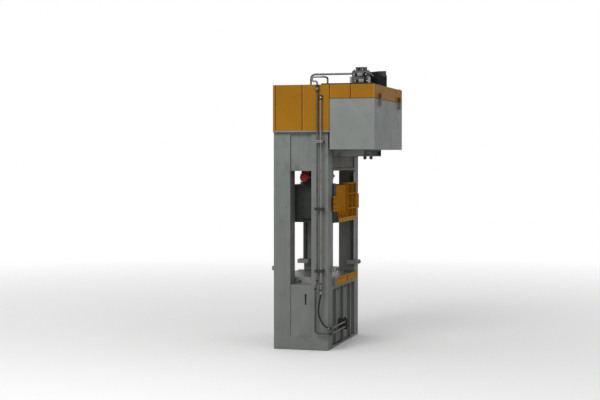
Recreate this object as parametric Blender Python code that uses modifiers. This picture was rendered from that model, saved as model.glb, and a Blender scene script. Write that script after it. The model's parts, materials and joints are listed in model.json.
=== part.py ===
"""A straight-side hydraulic press of welded plate, with its slide, guides, oil tank and drive on top.

Metres, +Z up. X is the width, the front faces -Y, and the origin is at the middle of the base.
"""

import math

import bmesh
import bpy
from mathutils import Quaternion, Vector

# Fits
SEAT = 0.0003
RUNNING = 0.0008
OVERRUN = 0.05

# Frame
FRAME_WIDTH = 3.0
FRAME_DEPTH = 1.29
UPRIGHT_WIDTH = 0.40
UPRIGHT_DEPTH = 0.395
BED_HEIGHT = 1.45
BOLSTER_THICKNESS = 0.18
DAYLIGHT = 1.27
SLIDE_HEIGHT = 0.86
SLIDE_STEP = 0.05
SLIDE_TO_CROWN = 0.29
CROWN_HEIGHT = 0.88
WINDOW_ABOVE_BED = 0.04
CROWN_WEB_RECESS = 0.04
BED_WEB_RECESS = 0.02
BED_WEB_FOOT = 0.30
TOP_RIM = 0.05
SIDE_SLOT_WIDTH = 0.04
SIDE_SLOT_HEIGHT = 0.25
SIDE_SLOT_DROP = 0.165
SIDE_SLOT_PLACE = 0.11
SIDE_SLOT_DEPTH = 0.10

# Places that follow from the frame
HALF_WIDTH = FRAME_WIDTH / 2
HALF_DEPTH = FRAME_DEPTH / 2
INNER_FACE = HALF_WIDTH - UPRIGHT_WIDTH
WINDOW_HALF = HALF_DEPTH - UPRIGHT_DEPTH
WINDOW_BOTTOM = BED_HEIGHT + WINDOW_ABOVE_BED
BOLSTER_TOP = BED_HEIGHT + BOLSTER_THICKNESS
SLIDE_BOTTOM = BOLSTER_TOP + DAYLIGHT
SLIDE_TOP = SLIDE_BOTTOM + SLIDE_HEIGHT
SLIDE_HIGH_TOP = SLIDE_TOP + SLIDE_STEP
CROWN_BOTTOM = SLIDE_HIGH_TOP + SLIDE_TO_CROWN
FRAME_HEIGHT = CROWN_BOTTOM + CROWN_HEIGHT

# Crown and bed beams
CROWN_FLANGE = 0.06
CROWN_FACE_RECESS = 0.03
BED_FACE_RECESS = 0.07
BED_RIB = 0.05
BED_RIB_PITCH = 0.70
BED_RIB_COUNT = 3
BED_TOP_PLATE = 0.09
BED_SOLE = 0.06
PLUG_RADIUS = 0.03
PLUG_STAND = 0.02
PLUG_BELOW_PLATE = 0.05
BED_FACE = BED_FACE_RECESS - HALF_DEPTH

# Bolster
BOLSTER_SIDE_GAP = 0.10
BOLSTER_STAND = 0.075
BOLSTER_HALF_WIDTH = INNER_FACE - BOLSTER_SIDE_GAP
BOLSTER_HALF_DEPTH = HALF_DEPTH + BOLSTER_STAND
STRIP_THICKNESS = 0.015
STRIP_EDGE = 0.01
STRIP_GAP = 0.10
STRIP_NOTCH = 0.02
SLOT_PITCH = 0.25
SLOTS_EACH_SIDE = 3
SLOT_THROAT = 0.036
SLOT_HEAD = 0.060
SLOT_THROAT_DEPTH = 0.040
SLOT_HEAD_DEPTH = 0.028

# Guide rails and their feet
RAIL_THICKNESS = 0.07
RAIL_WIDTH = 0.07
RAIL_BELOW_CROWN = 0.05
FOOT_ABOVE_BOLSTER = 0.16
FOOT_HEIGHT = 0.10
FOOT_INNER_LEG = 0.18
FOOT_OUTER_LEG = 0.15
FOOT_STAND = 0.12
FOOT_REACH = 0.155
RAIL_INNER = INNER_FACE - RAIL_THICKNESS
FOOT_BOTTOM = BOLSTER_TOP + FOOT_ABOVE_BOLSTER
FOOT_TOP = FOOT_BOTTOM + FOOT_HEIGHT

# Main cylinder and piston rod
CYLINDER_WALL = 0.06
CYLINDER_BORE = 0.24
CYLINDER_ABOVE_FRAME = 0.47
CYLINDER_HEAD = 0.12
CYLINDER_FLANGE_LIP = 0.08
CYLINDER_FLANGE = 0.08
CROWN_BORE_CLEARANCE = 0.01
GLAND_WIDTH = 0.14
GLAND_HEIGHT = 0.09
ROD_STEP = 0.04
ROD_HEAD_HEIGHT = 0.15
ROD_HEAD_SPACE = 0.08
ROD_FLANGE_LIP = 0.08
ROD_FLANGE = 0.06
ROD_POCKET_DEPTH = 0.20
ROD_POCKET_CLEARANCE = 0.02
PREFILL_FLANGE_RADIUS = 0.22
PREFILL_FLANGE = 0.05
PREFILL_RADIUS = 0.15
PREFILL_HEIGHT = 0.28
BRANCH_RADIUS = 0.075
BRANCH_FLANGE = 0.03
BRANCH_FLANGE_LIP = 0.035
BRANCH_ABOVE_FLANGE = 0.115
CYLINDER_RADIUS = CYLINDER_BORE + CYLINDER_WALL
CYLINDER_TOP = FRAME_HEIGHT + CYLINDER_ABOVE_FRAME
CROWN_BORE = CYLINDER_RADIUS + CROWN_BORE_CLEARANCE
ROD_RADIUS = CYLINDER_BORE - ROD_STEP
ROD_HEAD_TOP = CYLINDER_TOP - CYLINDER_HEAD - ROD_HEAD_SPACE

# Slide: its faces are placed from the front of the frame
SLIDE_SIDE_GAP = 0.205
SLIDE_STAND = 0.10
SLIDE_CORE_DROP = 0.125
SLIDE_PANEL_DROP = 0.065
SLIDE_FLANGE = 0.10
SLIDE_SPLIT = 0.05
SLIDE_PLATE = 0.03
CELL_DEPTH = 0.185
GUSSET_HEIGHT = 0.42
GUSSET_COUNT = 4
SHELF_LOW = 0.28
SHELF_HIGH = 0.63
BRACKET_LOW = 0.27
BRACKET_SPAN = 0.35
BRACKET_LAP = 0.10
BRACKET_DROP = 0.01
SHOE_STAND = 0.035
SHOE_REACH = 0.145
SHOE_LIP_CLEARANCE = 0.005
SLIDE_HALF_WIDTH = INNER_FACE - SLIDE_SIDE_GAP
SLIDE_FRONT = HALF_DEPTH + SLIDE_STAND
SLIDE_CORE = SLIDE_FRONT - SLIDE_CORE_DROP
SLIDE_PANEL = SLIDE_FRONT - SLIDE_PANEL_DROP
SHOE_FRONT = HALF_DEPTH + SHOE_STAND
BRACKET_BOTTOM = SLIDE_BOTTOM + BRACKET_LOW
BRACKET_TOP = BRACKET_BOTTOM + BRACKET_SPAN
BRACKET_HALF_WIDTH = INNER_FACE + BRACKET_LAP
BRACKET_FRONT = SLIDE_FRONT - BRACKET_DROP

# Slide lock
LOCK_DROP = 0.15
LOCK_RADIUS = 0.10
LOCK_FROM_PLATE = 0.01
LOCK_LENGTH = 0.25
LOCK_PIN_RADIUS = 0.035
LOCK_PIN_LENGTH = 0.18
LOCK_SADDLE_LENGTH = 0.18
LOCK_SADDLE_WIDTH = 0.14
LOCK_COLLAR = 0.03
LOCK_PLATE_THICKNESS = 0.075
LOCK_PLATE_WIDTH = 0.23
LOCK_PLATE_LOW = 0.09
LOCK_PLATE_ABOVE = 0.08
LOCK_HOLE_CLEARANCE = 0.01
LOCK_HEIGHT = CROWN_BOTTOM - LOCK_DROP
LOCK_INNER = SLIDE_HALF_WIDTH + LOCK_PLATE_THICKNESS + LOCK_FROM_PLATE
LOCK_HOLE = 2 * (LOCK_PIN_RADIUS + LOCK_HOLE_CLEARANCE)

# Bed cushion cylinder
CUSHION_FLANGE_RADIUS = 0.26
CUSHION_FLANGE = 0.06
CUSHION_RADIUS = 0.20
CUSHION_BORE = 0.10
CUSHION_BOTTOM = 0.10
CUSHION_BASE = 0.15
CUSHION_GLAND = 0.10
CUSHION_CLEARANCE = 0.01
CUSHION_ROD_RADIUS = 0.06
CUSHION_ROD_BOTTOM = 0.60
CUSHION_PISTON = 0.10
CUSHION_ROD_DROP = 0.03

# Deck and shroud
DECK_THICKNESS = 0.04
DECK_OVERHANG = 0.08
DECK_FRONT_OVERHANG = 0.045
SHROUD_BACK_INSET = 0.005
SHROUD_RISE = 1.08
SHEET = 0.025
SEAM = 0.008
SEAM_DEPTH = 0.005
SIDE_SEAM_SHARES = (0.0295, 0.2927, 0.5628, 0.7683, 0.9848)
END_SEAM_SHARES = (-0.506, 0, 0.506)
SHROUD_HALF_WIDTH = HALF_WIDTH + DECK_OVERHANG
DECK_FRONT = -HALF_DEPTH - DECK_FRONT_OVERHANG
DECK_TOP = FRAME_HEIGHT + SEAT + DECK_THICKNESS
SHROUD_BACK = HALF_DEPTH - SHROUD_BACK_INSET
SHROUD_TOP = FRAME_HEIGHT + SHROUD_RISE

# Oil tank and its bracket
TANK_GAP = 0.055
TANK_DEPTH = 1.034
TANK_ABOVE_CROWN = 0.493
TANK_HEIGHT = 1.142
LUG_PLACE = 1.10
LUG_WIDTH = 0.05
LUG_STAND = 0.065
LUG_BELOW = 0.165
LUG_ABOVE = 0.135
BRACKET_WIDTH = 1.92
BRACKET_LENGTH = 0.70
BRACKET_HEIGHT = 0.16
BRACKET_PLATE = 0.03
BRACKET_POCKET = 0.06
DRAIN_PLACE = 0.33
DRAIN_RADIUS = 0.035
DRAIN_HANG = 0.07
DRAIN_INSET = 0.05
TANK_BACK = -HALF_DEPTH - TANK_GAP
TANK_FRONT = TANK_BACK - TANK_DEPTH
TANK_BOTTOM = CROWN_BOTTOM + TANK_ABOVE_CROWN
TANK_TOP = TANK_BOTTOM + TANK_HEIGHT
BRACKET_REACH = -HALF_DEPTH - BRACKET_LENGTH

# Pump sets on the deck
MOTOR_PLACE = 0.85
MOTOR_RADIUS = 0.15
MOTOR_LENGTH = 0.46
MOTOR_START = 0.02
MOTOR_AXIS_HEIGHT = 0.21
MOTOR_FOOT_WIDTH = 0.28
MOTOR_FOOT_LENGTH = 0.30
MOTOR_BOX = 0.14
MOTOR_BOX_HEIGHT = 0.07
MOTOR_SHIELD = 0.05
MOTOR_COWL = 0.10
MOTOR_COWL_LIP = 0.008
MOTOR_FINS = 32
MOTOR_FIN_HEIGHT = 0.020
MOTOR_FIN_THICKNESS = 0.007
PUMP_RADIUS = 0.10
PUMP_BELL_RADIUS = 0.13
PUMP_BELL = 0.10
PUMP_LENGTH = 0.30
SUCTION_RADIUS = 0.045
SUCTION_FLANGE = 0.025
SUCTION_FLANGE_LIP = 0.03
MOTOR_AXIS = DECK_TOP + MOTOR_AXIS_HEIGHT

# Valve manifold
MANIFOLD_INSET = 0.08
MANIFOLD_WIDTH = 0.34
MANIFOLD_FRONT_INSET = 0.184
MANIFOLD_DEPTH = 0.35
MANIFOLD_HEIGHT = 0.625
VALVE_RADIUS = 0.035
VALVE_LENGTH = 0.12
VALVE_CAP_RADIUS = 0.045
VALVE_CAP_HEIGHT = 0.09
VALVE_ROWS = 3
MANIFOLD_LEFT = -SHROUD_HALF_WIDTH + MANIFOLD_INSET
MANIFOLD_BACK = TANK_FRONT + MANIFOLD_FRONT_INSET + MANIFOLD_DEPTH
MANIFOLD_TOP = TANK_TOP + MANIFOLD_HEIGHT

# Oil cooler and its fan
COOLER_FROM_MANIFOLD = 0.21
COOLER_WIDTH = 0.90
COOLER_FRONT_INSET = 0.054
COOLER_DEPTH = 0.18
COOLER_HEIGHT = 0.615
FAN_RADIUS = 0.22
FAN_CLEARANCE = 0.015
FAN_POCKET = 0.13
FAN_HUB_RADIUS = 0.06
FAN_THICKNESS = 0.045
FAN_BLADE_THICKNESS = 0.006
FAN_BLADE_CHORD = 0.11
FAN_BLADE_PITCH = math.radians(20)
FAN_BLADES = 6
FAN_INSET = 0.02
KNOB_RADIUS = 0.03
KNOB_LENGTH = 0.05
COOLER_LEFT = MANIFOLD_LEFT + MANIFOLD_WIDTH + COOLER_FROM_MANIFOLD
COOLER_RIGHT = COOLER_LEFT + COOLER_WIDTH
COOLER_FRONT = TANK_FRONT + COOLER_FRONT_INSET
COOLER_BACK = COOLER_FRONT + COOLER_DEPTH
COOLER_TOP = TANK_TOP + COOLER_HEIGHT

# Pipes on the left upright
PIPE_RADIUS = 0.0225
PIPE_FROM_SHROUD = 0.04
PIPE_BEND = 0.08
MAIN_PIPE_INSET = 0.225
MAIN_PIPE_LOW_INSET = 0.265
PIPE_PITCH = 0.086
PIPE_JOG_ABOVE_BED = 0.01
PIPE_JOG_HEIGHT = 0.10
CLAMP_SHARES = (0.3675, 0.6506, 0.9578)
CLAMP_WIDTH = 0.20
CLAMP_HEIGHT = 0.06
CLAMP_COVER = 0.018
PIPE_HOLE_CLEARANCE = 0.0008
MAIN_PIPE_BELOW_TOP = 0.16
FLANGE_HEIGHT = 0.15
FLANGE_RADIUS = 0.038
CUSHION_PIPE_BELOW_TOP = 0.29
COUPLING_RADIUS = 0.036
COUPLING_HEIGHT = 0.06
COUPLING_PITCH = 0.14
COUPLING_BELOW_BED = 0.06
PIPE_X = -SHROUD_HALF_WIDTH - PIPE_FROM_SHROUD
MAIN_PIPE_PLACE = -HALF_DEPTH + MAIN_PIPE_INSET
CUSHION_PIPE_PLACE = MAIN_PIPE_PLACE - PIPE_PITCH
MAIN_PIPE_TOP = SHROUD_TOP - MAIN_PIPE_BELOW_TOP
COUPLING_LOW = BED_HEIGHT - COUPLING_BELOW_BED

# Pipes over the deck
DECK_PIPE_INSET = 0.18
DECK_PIPE_FROM_FRONT = 0.476
DECK_PIPE_RISE = 0.24
DECK_PIPE_BEND = 0.10
RETURN_RISE = 0.08
RETURN_CLIMB = 0.10
RETURN_BACK_REACH = 0.12
RETURN_FRONT_REACH = 0.16
RETURN_INSET = 0.28
RETURN_BEND = 0.045

# Pipes along the bed
BED_PIPE_STAND = 0.105
UPPER_BED_PIPE = 0.53
BED_PIPE_PITCH = 0.12
BED_PIPE_END = -0.25
PORT_WIDTH = 0.09
PORT_HEIGHT = 0.26
ELBOW_RADIUS = 0.035
ELBOW_LENGTH = 0.16
BED_PIPE_FRONT = -HALF_DEPTH - BED_PIPE_STAND
LOWER_BED_PIPE = UPPER_BED_PIPE - BED_PIPE_PITCH

# Cushion hose: its way from coupling to elbow as shares, forward and down
HOSE_RADIUS = 0.0185
HOSE_SHARES = (
    (0.00, 0.07),
    (-0.08, 0.19),
    (-0.20, 0.34),
    (-0.26, 0.48),
    (-0.24, 0.61),
    (-0.12, 0.72),
    (0.08, 0.82),
    (0.32, 0.90),
    (0.61, 0.96),
    (0.88, 0.995),
)

# Smoothness
ROUND_STEPS = 40
SMALL_STEPS = 20
BEND_STEPS = 5

# Finishes as base colour, roughness and metallic
FINISHES = {
    "grey_paint": ((0.21, 0.22, 0.21), 0.5, 0.0),
    "yellow_paint": ((0.32, 0.15, 0.015), 0.45, 0.0),
    "black_steel": ((0.03, 0.03, 0.03), 0.5, 0.4),
    "dark_grey_paint": ((0.09, 0.09, 0.09), 0.5, 0.0),
    "red_paint": ((0.16, 0.015, 0.02), 0.45, 0.0),
    "bare_steel": ((0.30, 0.29, 0.27), 0.35, 1.0),
    "chrome": ((0.75, 0.75, 0.76), 0.12, 1.0),
    "rubber": ((0.02, 0.02, 0.02), 0.7, 0.0),
    "motor_blue_grey": ((0.12, 0.16, 0.18), 0.5, 0.0),
    "cast_iron": ((0.14, 0.14, 0.14), 0.6, 0.6),
}


def clear_scene():
    for obj in list(bpy.data.objects):
        bpy.data.objects.remove(obj, do_unlink=True)


def new_collection(name):
    collection = bpy.data.collections.new(name)
    bpy.context.scene.collection.children.link(collection)
    return collection


clear_scene()
PRESS = new_collection("hydraulic_press")
TOOLS = new_collection("shaping_tools")


def finish_material(name):
    found = bpy.data.materials.get(name)
    if found:
        return found
    colour, roughness, metallic = FINISHES[name]
    made = bpy.data.materials.new(name)
    made.use_nodes = True
    shader = made.node_tree.nodes["Principled BSDF"]
    shader.inputs["Base Color"].default_value = (*colour, 1.0)
    shader.inputs["Roughness"].default_value = roughness
    shader.inputs["Metallic"].default_value = metallic
    return made


def box(name, x, y, z):
    """A block between the two values given for each axis."""
    bm = bmesh.new()
    bmesh.ops.create_cube(bm, size=1.0)
    size = [abs(high - low) for low, high in (x, y, z)]
    bmesh.ops.scale(bm, vec=size, verts=bm.verts)
    mesh = bpy.data.meshes.new(name)
    bm.to_mesh(mesh)
    bm.free()
    obj = bpy.data.objects.new(name, mesh)
    obj.location = [(low + high) / 2 for low, high in (x, y, z)]
    PRESS.objects.link(obj)
    return obj


def rod(name, radius, start, end, steps=SMALL_STEPS):
    """A round bar from one point to another."""
    start = Vector(start)
    end = Vector(end)
    bm = bmesh.new()
    bmesh.ops.create_cone(bm, cap_ends=True, segments=steps, radius1=radius, radius2=radius,
                          depth=(end - start).length)
    mesh = bpy.data.meshes.new(name)
    bm.to_mesh(mesh)
    bm.free()
    mesh.shade_smooth()
    mesh.set_sharp_from_angle(angle=math.radians(35))
    obj = bpy.data.objects.new(name, mesh)
    obj.location = (start + end) / 2
    obj.rotation_euler = (end - start).to_track_quat("Z", "Y").to_euler()
    PRESS.objects.link(obj)
    return obj


def turned(name, profile, location=(0, 0, 0), rotation=(0, 0, 0), steps=ROUND_STEPS):
    """A body of revolution from (radius, height) pairs, its outer side listed top to bottom."""
    mesh = bpy.data.meshes.new(name)
    points = [(radius, 0, height) for radius, height in profile]
    edges = [(i, i + 1) for i in range(len(points) - 1)]
    if profile[0][0] > 0:
        edges.append((len(points) - 1, 0))
    mesh.from_pydata(points, edges, [])
    obj = bpy.data.objects.new(name, mesh)
    obj.location = location
    obj.rotation_euler = rotation
    PRESS.objects.link(obj)
    screw = obj.modifiers.new("turn", "SCREW")
    screw.steps = steps
    screw.render_steps = steps
    screw.use_merge_vertices = True
    screw.merge_threshold = 0.00001
    screw.use_smooth_shade = True
    return obj


def filleted(corners, radius):
    """The corners' path with an arc of one radius in place of each corner between its ends."""
    corners = [Vector(corner) for corner in corners]
    path = [corners[0]]
    for before, corner, after in zip(corners, corners[1:], corners[2:]):
        back = (before - corner).normalized()
        ahead = (after - corner).normalized()
        angle = back.angle(ahead)
        reach = radius / math.tan(angle / 2)
        centre = corner + (back + ahead).normalized() * radius / math.sin(angle / 2)
        first = corner + back * reach - centre
        last = corner + ahead * reach - centre
        sweep = math.pi - angle
        for step in range(BEND_STEPS + 1):
            share = step / BEND_STEPS
            path.append(centre + (first * math.sin((1 - share) * sweep)
                                  + last * math.sin(share * sweep)) / math.sin(sweep))
    return path + [corners[-1]]


def as_mesh(curve):
    """The curve object made one welded mesh object of the same name and place."""
    bpy.context.view_layer.update()
    evaluated = curve.evaluated_get(bpy.context.evaluated_depsgraph_get())
    mesh = bpy.data.meshes.new_from_object(evaluated)
    bm = bmesh.new()
    bm.from_mesh(mesh)
    bmesh.ops.remove_doubles(bm, verts=bm.verts, dist=0.00001)
    bm.to_mesh(mesh)
    bm.free()
    name = curve.name
    place = curve.matrix_world.copy()
    bpy.data.objects.remove(curve, do_unlink=True)
    obj = bpy.data.objects.new(name, mesh)
    obj.matrix_world = place
    PRESS.objects.link(obj)
    return obj


def plate(name, outlines, thickness, location, upright):
    """A flat plate from closed 2D outlines; upright turns its flat side to face along X."""
    data = bpy.data.curves.new(name, "CURVE")
    data.dimensions = "2D"
    data.fill_mode = "BOTH"
    data.extrude = thickness / 2
    for outline in outlines:
        spline = data.splines.new("POLY")
        spline.points.add(len(outline) - 1)
        for point, place in zip(spline.points, outline):
            point.co = (place[0], place[1], 0, 1)
        spline.use_cyclic_u = True
    obj = bpy.data.objects.new(name, data)
    obj.location = location
    if upright:
        obj.rotation_euler = (math.pi / 2, 0, math.pi / 2)
    PRESS.objects.link(obj)
    return as_mesh(obj)


def tube(name, path, radius):
    """A pipe or hose along the points of a path."""
    data = bpy.data.curves.new(name, "CURVE")
    data.dimensions = "3D"
    data.bevel_depth = radius
    data.bevel_resolution = 2
    data.use_fill_caps = True
    spline = data.splines.new("POLY")
    spline.points.add(len(path) - 1)
    for point, place in zip(spline.points, path):
        point.co = (*place, 1)
    obj = bpy.data.objects.new(name, data)
    PRESS.objects.link(obj)
    return as_mesh(obj)


def bent_pipe(name, corners, bend, radius=PIPE_RADIUS):
    return tube(name, filleted(corners, bend), radius)


def combine(body, tools, operation):
    for tool in tools:
        step = body.modifiers.new("shape", "BOOLEAN")
        step.operation = operation
        step.solver = "EXACT"
        step.object = tool
        tool.hide_render = True
        tool.display_type = "WIRE"
        PRESS.objects.unlink(tool)
        TOOLS.objects.link(tool)
    return body


def add(body, *tools):
    return combine(body, tools, "UNION")


def cut(body, *tools):
    return combine(body, tools, "DIFFERENCE")


def paint(obj, finish):
    obj.data.materials.clear()
    obj.data.materials.append(finish_material(finish))
    return obj


def hang_on(obj, carrier):
    """Parents a piece to an empty and keeps its place."""
    obj.location = Vector(obj.location) - carrier.location
    obj.parent = carrier
    return obj


def mirrored(low, high, side):
    """A span of X on the side asked for, -1 left and +1 right."""
    return tuple(sorted((low * side, high * side)))


def side_name(side):
    return "left" if side < 0 else "right"


def side_frame(side):
    """One full-height side of the frame: two uprights joined at the bed and at the crown."""
    outline = [(-HALF_DEPTH, 0), (HALF_DEPTH, 0), (HALF_DEPTH, FRAME_HEIGHT), (-HALF_DEPTH, FRAME_HEIGHT)]
    window = [(-WINDOW_HALF, WINDOW_BOTTOM), (WINDOW_HALF, WINDOW_BOTTOM),
              (WINDOW_HALF, CROWN_BOTTOM), (-WINDOW_HALF, CROWN_BOTTOM)]
    middle = side * (INNER_FACE + UPRIGHT_WIDTH / 2)
    frame = plate("side_frame_" + side_name(side), [outline, window], UPRIGHT_WIDTH, (middle, 0, 0), True)
    crown_web = box("crown_web", mirrored(HALF_WIDTH - CROWN_WEB_RECESS, HALF_WIDTH + OVERRUN, side),
                    (-WINDOW_HALF, WINDOW_HALF),
                    (CROWN_BOTTOM - OVERRUN, FRAME_HEIGHT - TOP_RIM))
    bed_web = box("bed_web", mirrored(HALF_WIDTH - BED_WEB_RECESS, HALF_WIDTH + OVERRUN, side),
                  (-WINDOW_HALF, WINDOW_HALF),
                  (BED_WEB_FOOT, WINDOW_BOTTOM + OVERRUN))
    slot = box("side_slot", mirrored(HALF_WIDTH - SIDE_SLOT_DEPTH, HALF_WIDTH + OVERRUN, side),
               (-SIDE_SLOT_PLACE - SIDE_SLOT_WIDTH / 2, -SIDE_SLOT_PLACE + SIDE_SLOT_WIDTH / 2),
               (BED_HEIGHT - SIDE_SLOT_DROP - SIDE_SLOT_HEIGHT, BED_HEIGHT - SIDE_SLOT_DROP))
    cut(frame, crown_web, bed_web, slot)
    return paint(frame, "grey_paint")


def crown_beam():
    """The head beam between the side frames, bored for the main cylinder."""
    half = INNER_FACE - SEAT
    web = HALF_DEPTH - CROWN_FACE_RECESS
    beam = box("crown_beam", (-half, half), (-web, web), (CROWN_BOTTOM, FRAME_HEIGHT))
    for bottom in (CROWN_BOTTOM, FRAME_HEIGHT - CROWN_FLANGE):
        flange = box("crown_flange", (-half, half), (-HALF_DEPTH, HALF_DEPTH),
                     (bottom, bottom + CROWN_FLANGE))
        add(beam, flange)
    bore = rod("crown_bore", CROWN_BORE, (0, 0, CROWN_BOTTOM - OVERRUN), (0, 0, FRAME_HEIGHT + OVERRUN),
               ROUND_STEPS)
    cut(beam, bore)
    return paint(beam, "grey_paint")


def bed_beam():
    """The bed between the side frames: ribbed faces, and a well for the cushion cylinder."""
    half = INNER_FACE - SEAT
    face = HALF_DEPTH - BED_FACE_RECESS
    beam = box("bed_beam", (-half, half), (-face, face), (0, BED_HEIGHT))
    top = box("bed_top", (-half, half), (-HALF_DEPTH, HALF_DEPTH), (BED_HEIGHT - BED_TOP_PLATE, BED_HEIGHT))
    sole = box("bed_sole", (-half, half), (-HALF_DEPTH, HALF_DEPTH), (0, BED_SOLE))
    add(beam, top, sole)
    middle = (BED_RIB_COUNT - 1) / 2
    for i in range(BED_RIB_COUNT):
        x = (i - middle) * BED_RIB_PITCH
        rib = box("bed_rib", (x - BED_RIB / 2, x + BED_RIB / 2), (-HALF_DEPTH + SEAT, HALF_DEPTH - SEAT),
                  (BED_SOLE / 2, BED_HEIGHT - BED_TOP_PLATE / 2))
        add(beam, rib)
    for i in range(BED_RIB_COUNT - 1):
        x = (i + 0.5 - middle) * BED_RIB_PITCH
        z = BED_HEIGHT - BED_TOP_PLATE - PLUG_BELOW_PLATE
        plug = rod("bed_plug", PLUG_RADIUS, (x, -face + PLUG_STAND, z), (x, -face - PLUG_STAND, z))
        add(beam, plug)
    well = rod("cushion_well", CUSHION_RADIUS + CUSHION_CLEARANCE,
               (0, 0, CUSHION_BOTTOM - CUSHION_CLEARANCE), (0, 0, BED_HEIGHT + OVERRUN), ROUND_STEPS)
    seat = rod("cushion_seat", CUSHION_FLANGE_RADIUS + CUSHION_CLEARANCE,
               (0, 0, BED_HEIGHT - CUSHION_FLANGE), (0, 0, BED_HEIGHT + OVERRUN), ROUND_STEPS)
    cut(beam, well, seat)
    return paint(beam, "grey_paint")


def slot_places():
    places = [SLOT_PITCH * (i + 1) for i in range(SLOTS_EACH_SIDE)]
    return [-place for place in reversed(places)] + places


def t_slot_cutters(depth, face, direction):
    """Throat and head cutters of each T-slot, from a working face into the plate behind it."""
    cutters = []
    neck = face + direction * SLOT_THROAT_DEPTH
    back = neck + direction * SLOT_HEAD_DEPTH
    for x in slot_places():
        cutters.append(box("slot_throat", (x - SLOT_THROAT / 2, x + SLOT_THROAT / 2), (-depth, depth),
                           tuple(sorted((face - direction * OVERRUN, neck + direction * SEAT)))))
        cutters.append(box("slot_head", (x - SLOT_HEAD / 2, x + SLOT_HEAD / 2), (-depth, depth),
                           tuple(sorted((neck, back)))))
    return cutters


def bolster_plate():
    """The working table on the bed, with T-slots front to back and a hole for the cushion rod."""
    table = box("bolster_plate", (-BOLSTER_HALF_WIDTH, BOLSTER_HALF_WIDTH),
                (-BOLSTER_HALF_DEPTH, BOLSTER_HALF_DEPTH), (BED_HEIGHT + SEAT, BOLSTER_TOP))
    cut(table, *t_slot_cutters(BOLSTER_HALF_DEPTH + OVERRUN, BOLSTER_TOP, -1))
    hole = rod("rod_hole", CUSHION_ROD_RADIUS + CUSHION_CLEARANCE, (0, 0, BED_HEIGHT - OVERRUN),
               (0, 0, BOLSTER_TOP + OVERRUN), ROUND_STEPS)
    cut(table, hole)
    return paint(table, "bare_steel")


def bolster_strip(side):
    """A painted strip screwed to the table's front edge, notched at each T-slot."""
    back = -BOLSTER_HALF_DEPTH - SEAT
    front = back - STRIP_THICKNESS
    bottom = BED_HEIGHT + STRIP_EDGE
    strip = box("bolster_strip_" + side_name(side), mirrored(STRIP_GAP / 2, BOLSTER_HALF_WIDTH, side),
                (front, back), (bottom, BOLSTER_TOP))
    for x in slot_places():
        if x * side < 0:
            continue
        drop = SLOT_THROAT_DEPTH + SLOT_HEAD_DEPTH
        cut(strip,
            box("strip_slot", (x - SLOT_HEAD / 2, x + SLOT_HEAD / 2), (front - OVERRUN, 0),
                (BOLSTER_TOP - drop, BOLSTER_TOP + OVERRUN)),
            box("strip_notch", (x - SLOT_THROAT / 2, x + SLOT_THROAT / 2), (front - OVERRUN, 0),
                (bottom - OVERRUN, bottom + STRIP_NOTCH)))
    return paint(strip, "yellow_paint")


def rail_foot(side, end):
    """The angle block round an upright's inner corner that carries the guide rail."""
    outer_y = HALF_DEPTH + FOOT_STAND
    inner_y = HALF_DEPTH - FOOT_REACH
    inner_x = INNER_FACE - FOOT_INNER_LEG
    outer_x = INNER_FACE + FOOT_OUTER_LEG
    corners = [
        (outer_x, outer_y), (inner_x, outer_y), (inner_x, inner_y), (INNER_FACE - SEAT, inner_y),
        (INNER_FACE - SEAT, HALF_DEPTH + SEAT), (outer_x, HALF_DEPTH + SEAT)]
    outline = [(x * side, y * end) for x, y in corners]
    name = "rail_foot_" + ("front_" if end < 0 else "rear_") + side_name(side)
    foot = plate(name, [outline], FOOT_TOP - FOOT_BOTTOM, (0, 0, (FOOT_TOP + FOOT_BOTTOM) / 2), False)
    return paint(foot, "grey_paint")


def guide_rail(side, end):
    """A hard black rail on the inner face of an upright, standing on its foot."""
    name = "guide_rail_" + ("front_" if end < 0 else "rear_") + side_name(side)
    rail = box(name, mirrored(RAIL_INNER, INNER_FACE - SEAT, side),
               mirrored(HALF_DEPTH - RAIL_WIDTH, HALF_DEPTH, end),
               (FOOT_TOP + SEAT, CROWN_BOTTOM - RAIL_BELOW_CROWN))
    return paint(rail, "black_steel")


def main_cylinder():
    """The pressing cylinder, hung in the crown by the flange under it."""
    flange_top = CROWN_BOTTOM - SEAT
    flange_bottom = flange_top - CYLINDER_FLANGE
    flange = CYLINDER_RADIUS + CYLINDER_FLANGE_LIP
    bore_top = CYLINDER_TOP - CYLINDER_HEAD
    profile = [
        (0, CYLINDER_TOP), (CYLINDER_RADIUS, CYLINDER_TOP), (CYLINDER_RADIUS, flange_top),
        (flange, flange_top), (flange, flange_bottom), (CYLINDER_BORE, flange_bottom),
        (CYLINDER_BORE, bore_top), (0, bore_top)]
    return paint(turned("main_cylinder", profile), "dark_grey_paint")


def gland_ring():
    """The bolted ring that holds the rod seals at the mouth of the cylinder."""
    top = CROWN_BOTTOM - CYLINDER_FLANGE - 2 * SEAT
    bottom = top - GLAND_HEIGHT
    inner = ROD_RADIUS + SEAT
    outer = ROD_RADIUS + GLAND_WIDTH
    profile = [(inner, top), (outer, top), (outer, bottom), (inner, bottom)]
    return paint(turned("gland_ring", profile), "bare_steel")


def piston_rod(carrier):
    """Piston, rod and bottom flange in one, bolted down in the slide's pocket."""
    foot = SLIDE_TOP - ROD_POCKET_DEPTH + SEAT
    head_bottom = ROD_HEAD_TOP - ROD_HEAD_HEIGHT
    head = CYLINDER_BORE - RUNNING
    flange = ROD_RADIUS + ROD_FLANGE_LIP
    profile = [
        (0, ROD_HEAD_TOP), (head, ROD_HEAD_TOP), (head, head_bottom), (ROD_RADIUS, head_bottom),
        (ROD_RADIUS, foot + ROD_FLANGE), (flange, foot + ROD_FLANGE), (flange, foot), (0, foot)]
    return hang_on(paint(turned("piston_rod", profile), "chrome"), carrier)


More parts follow.
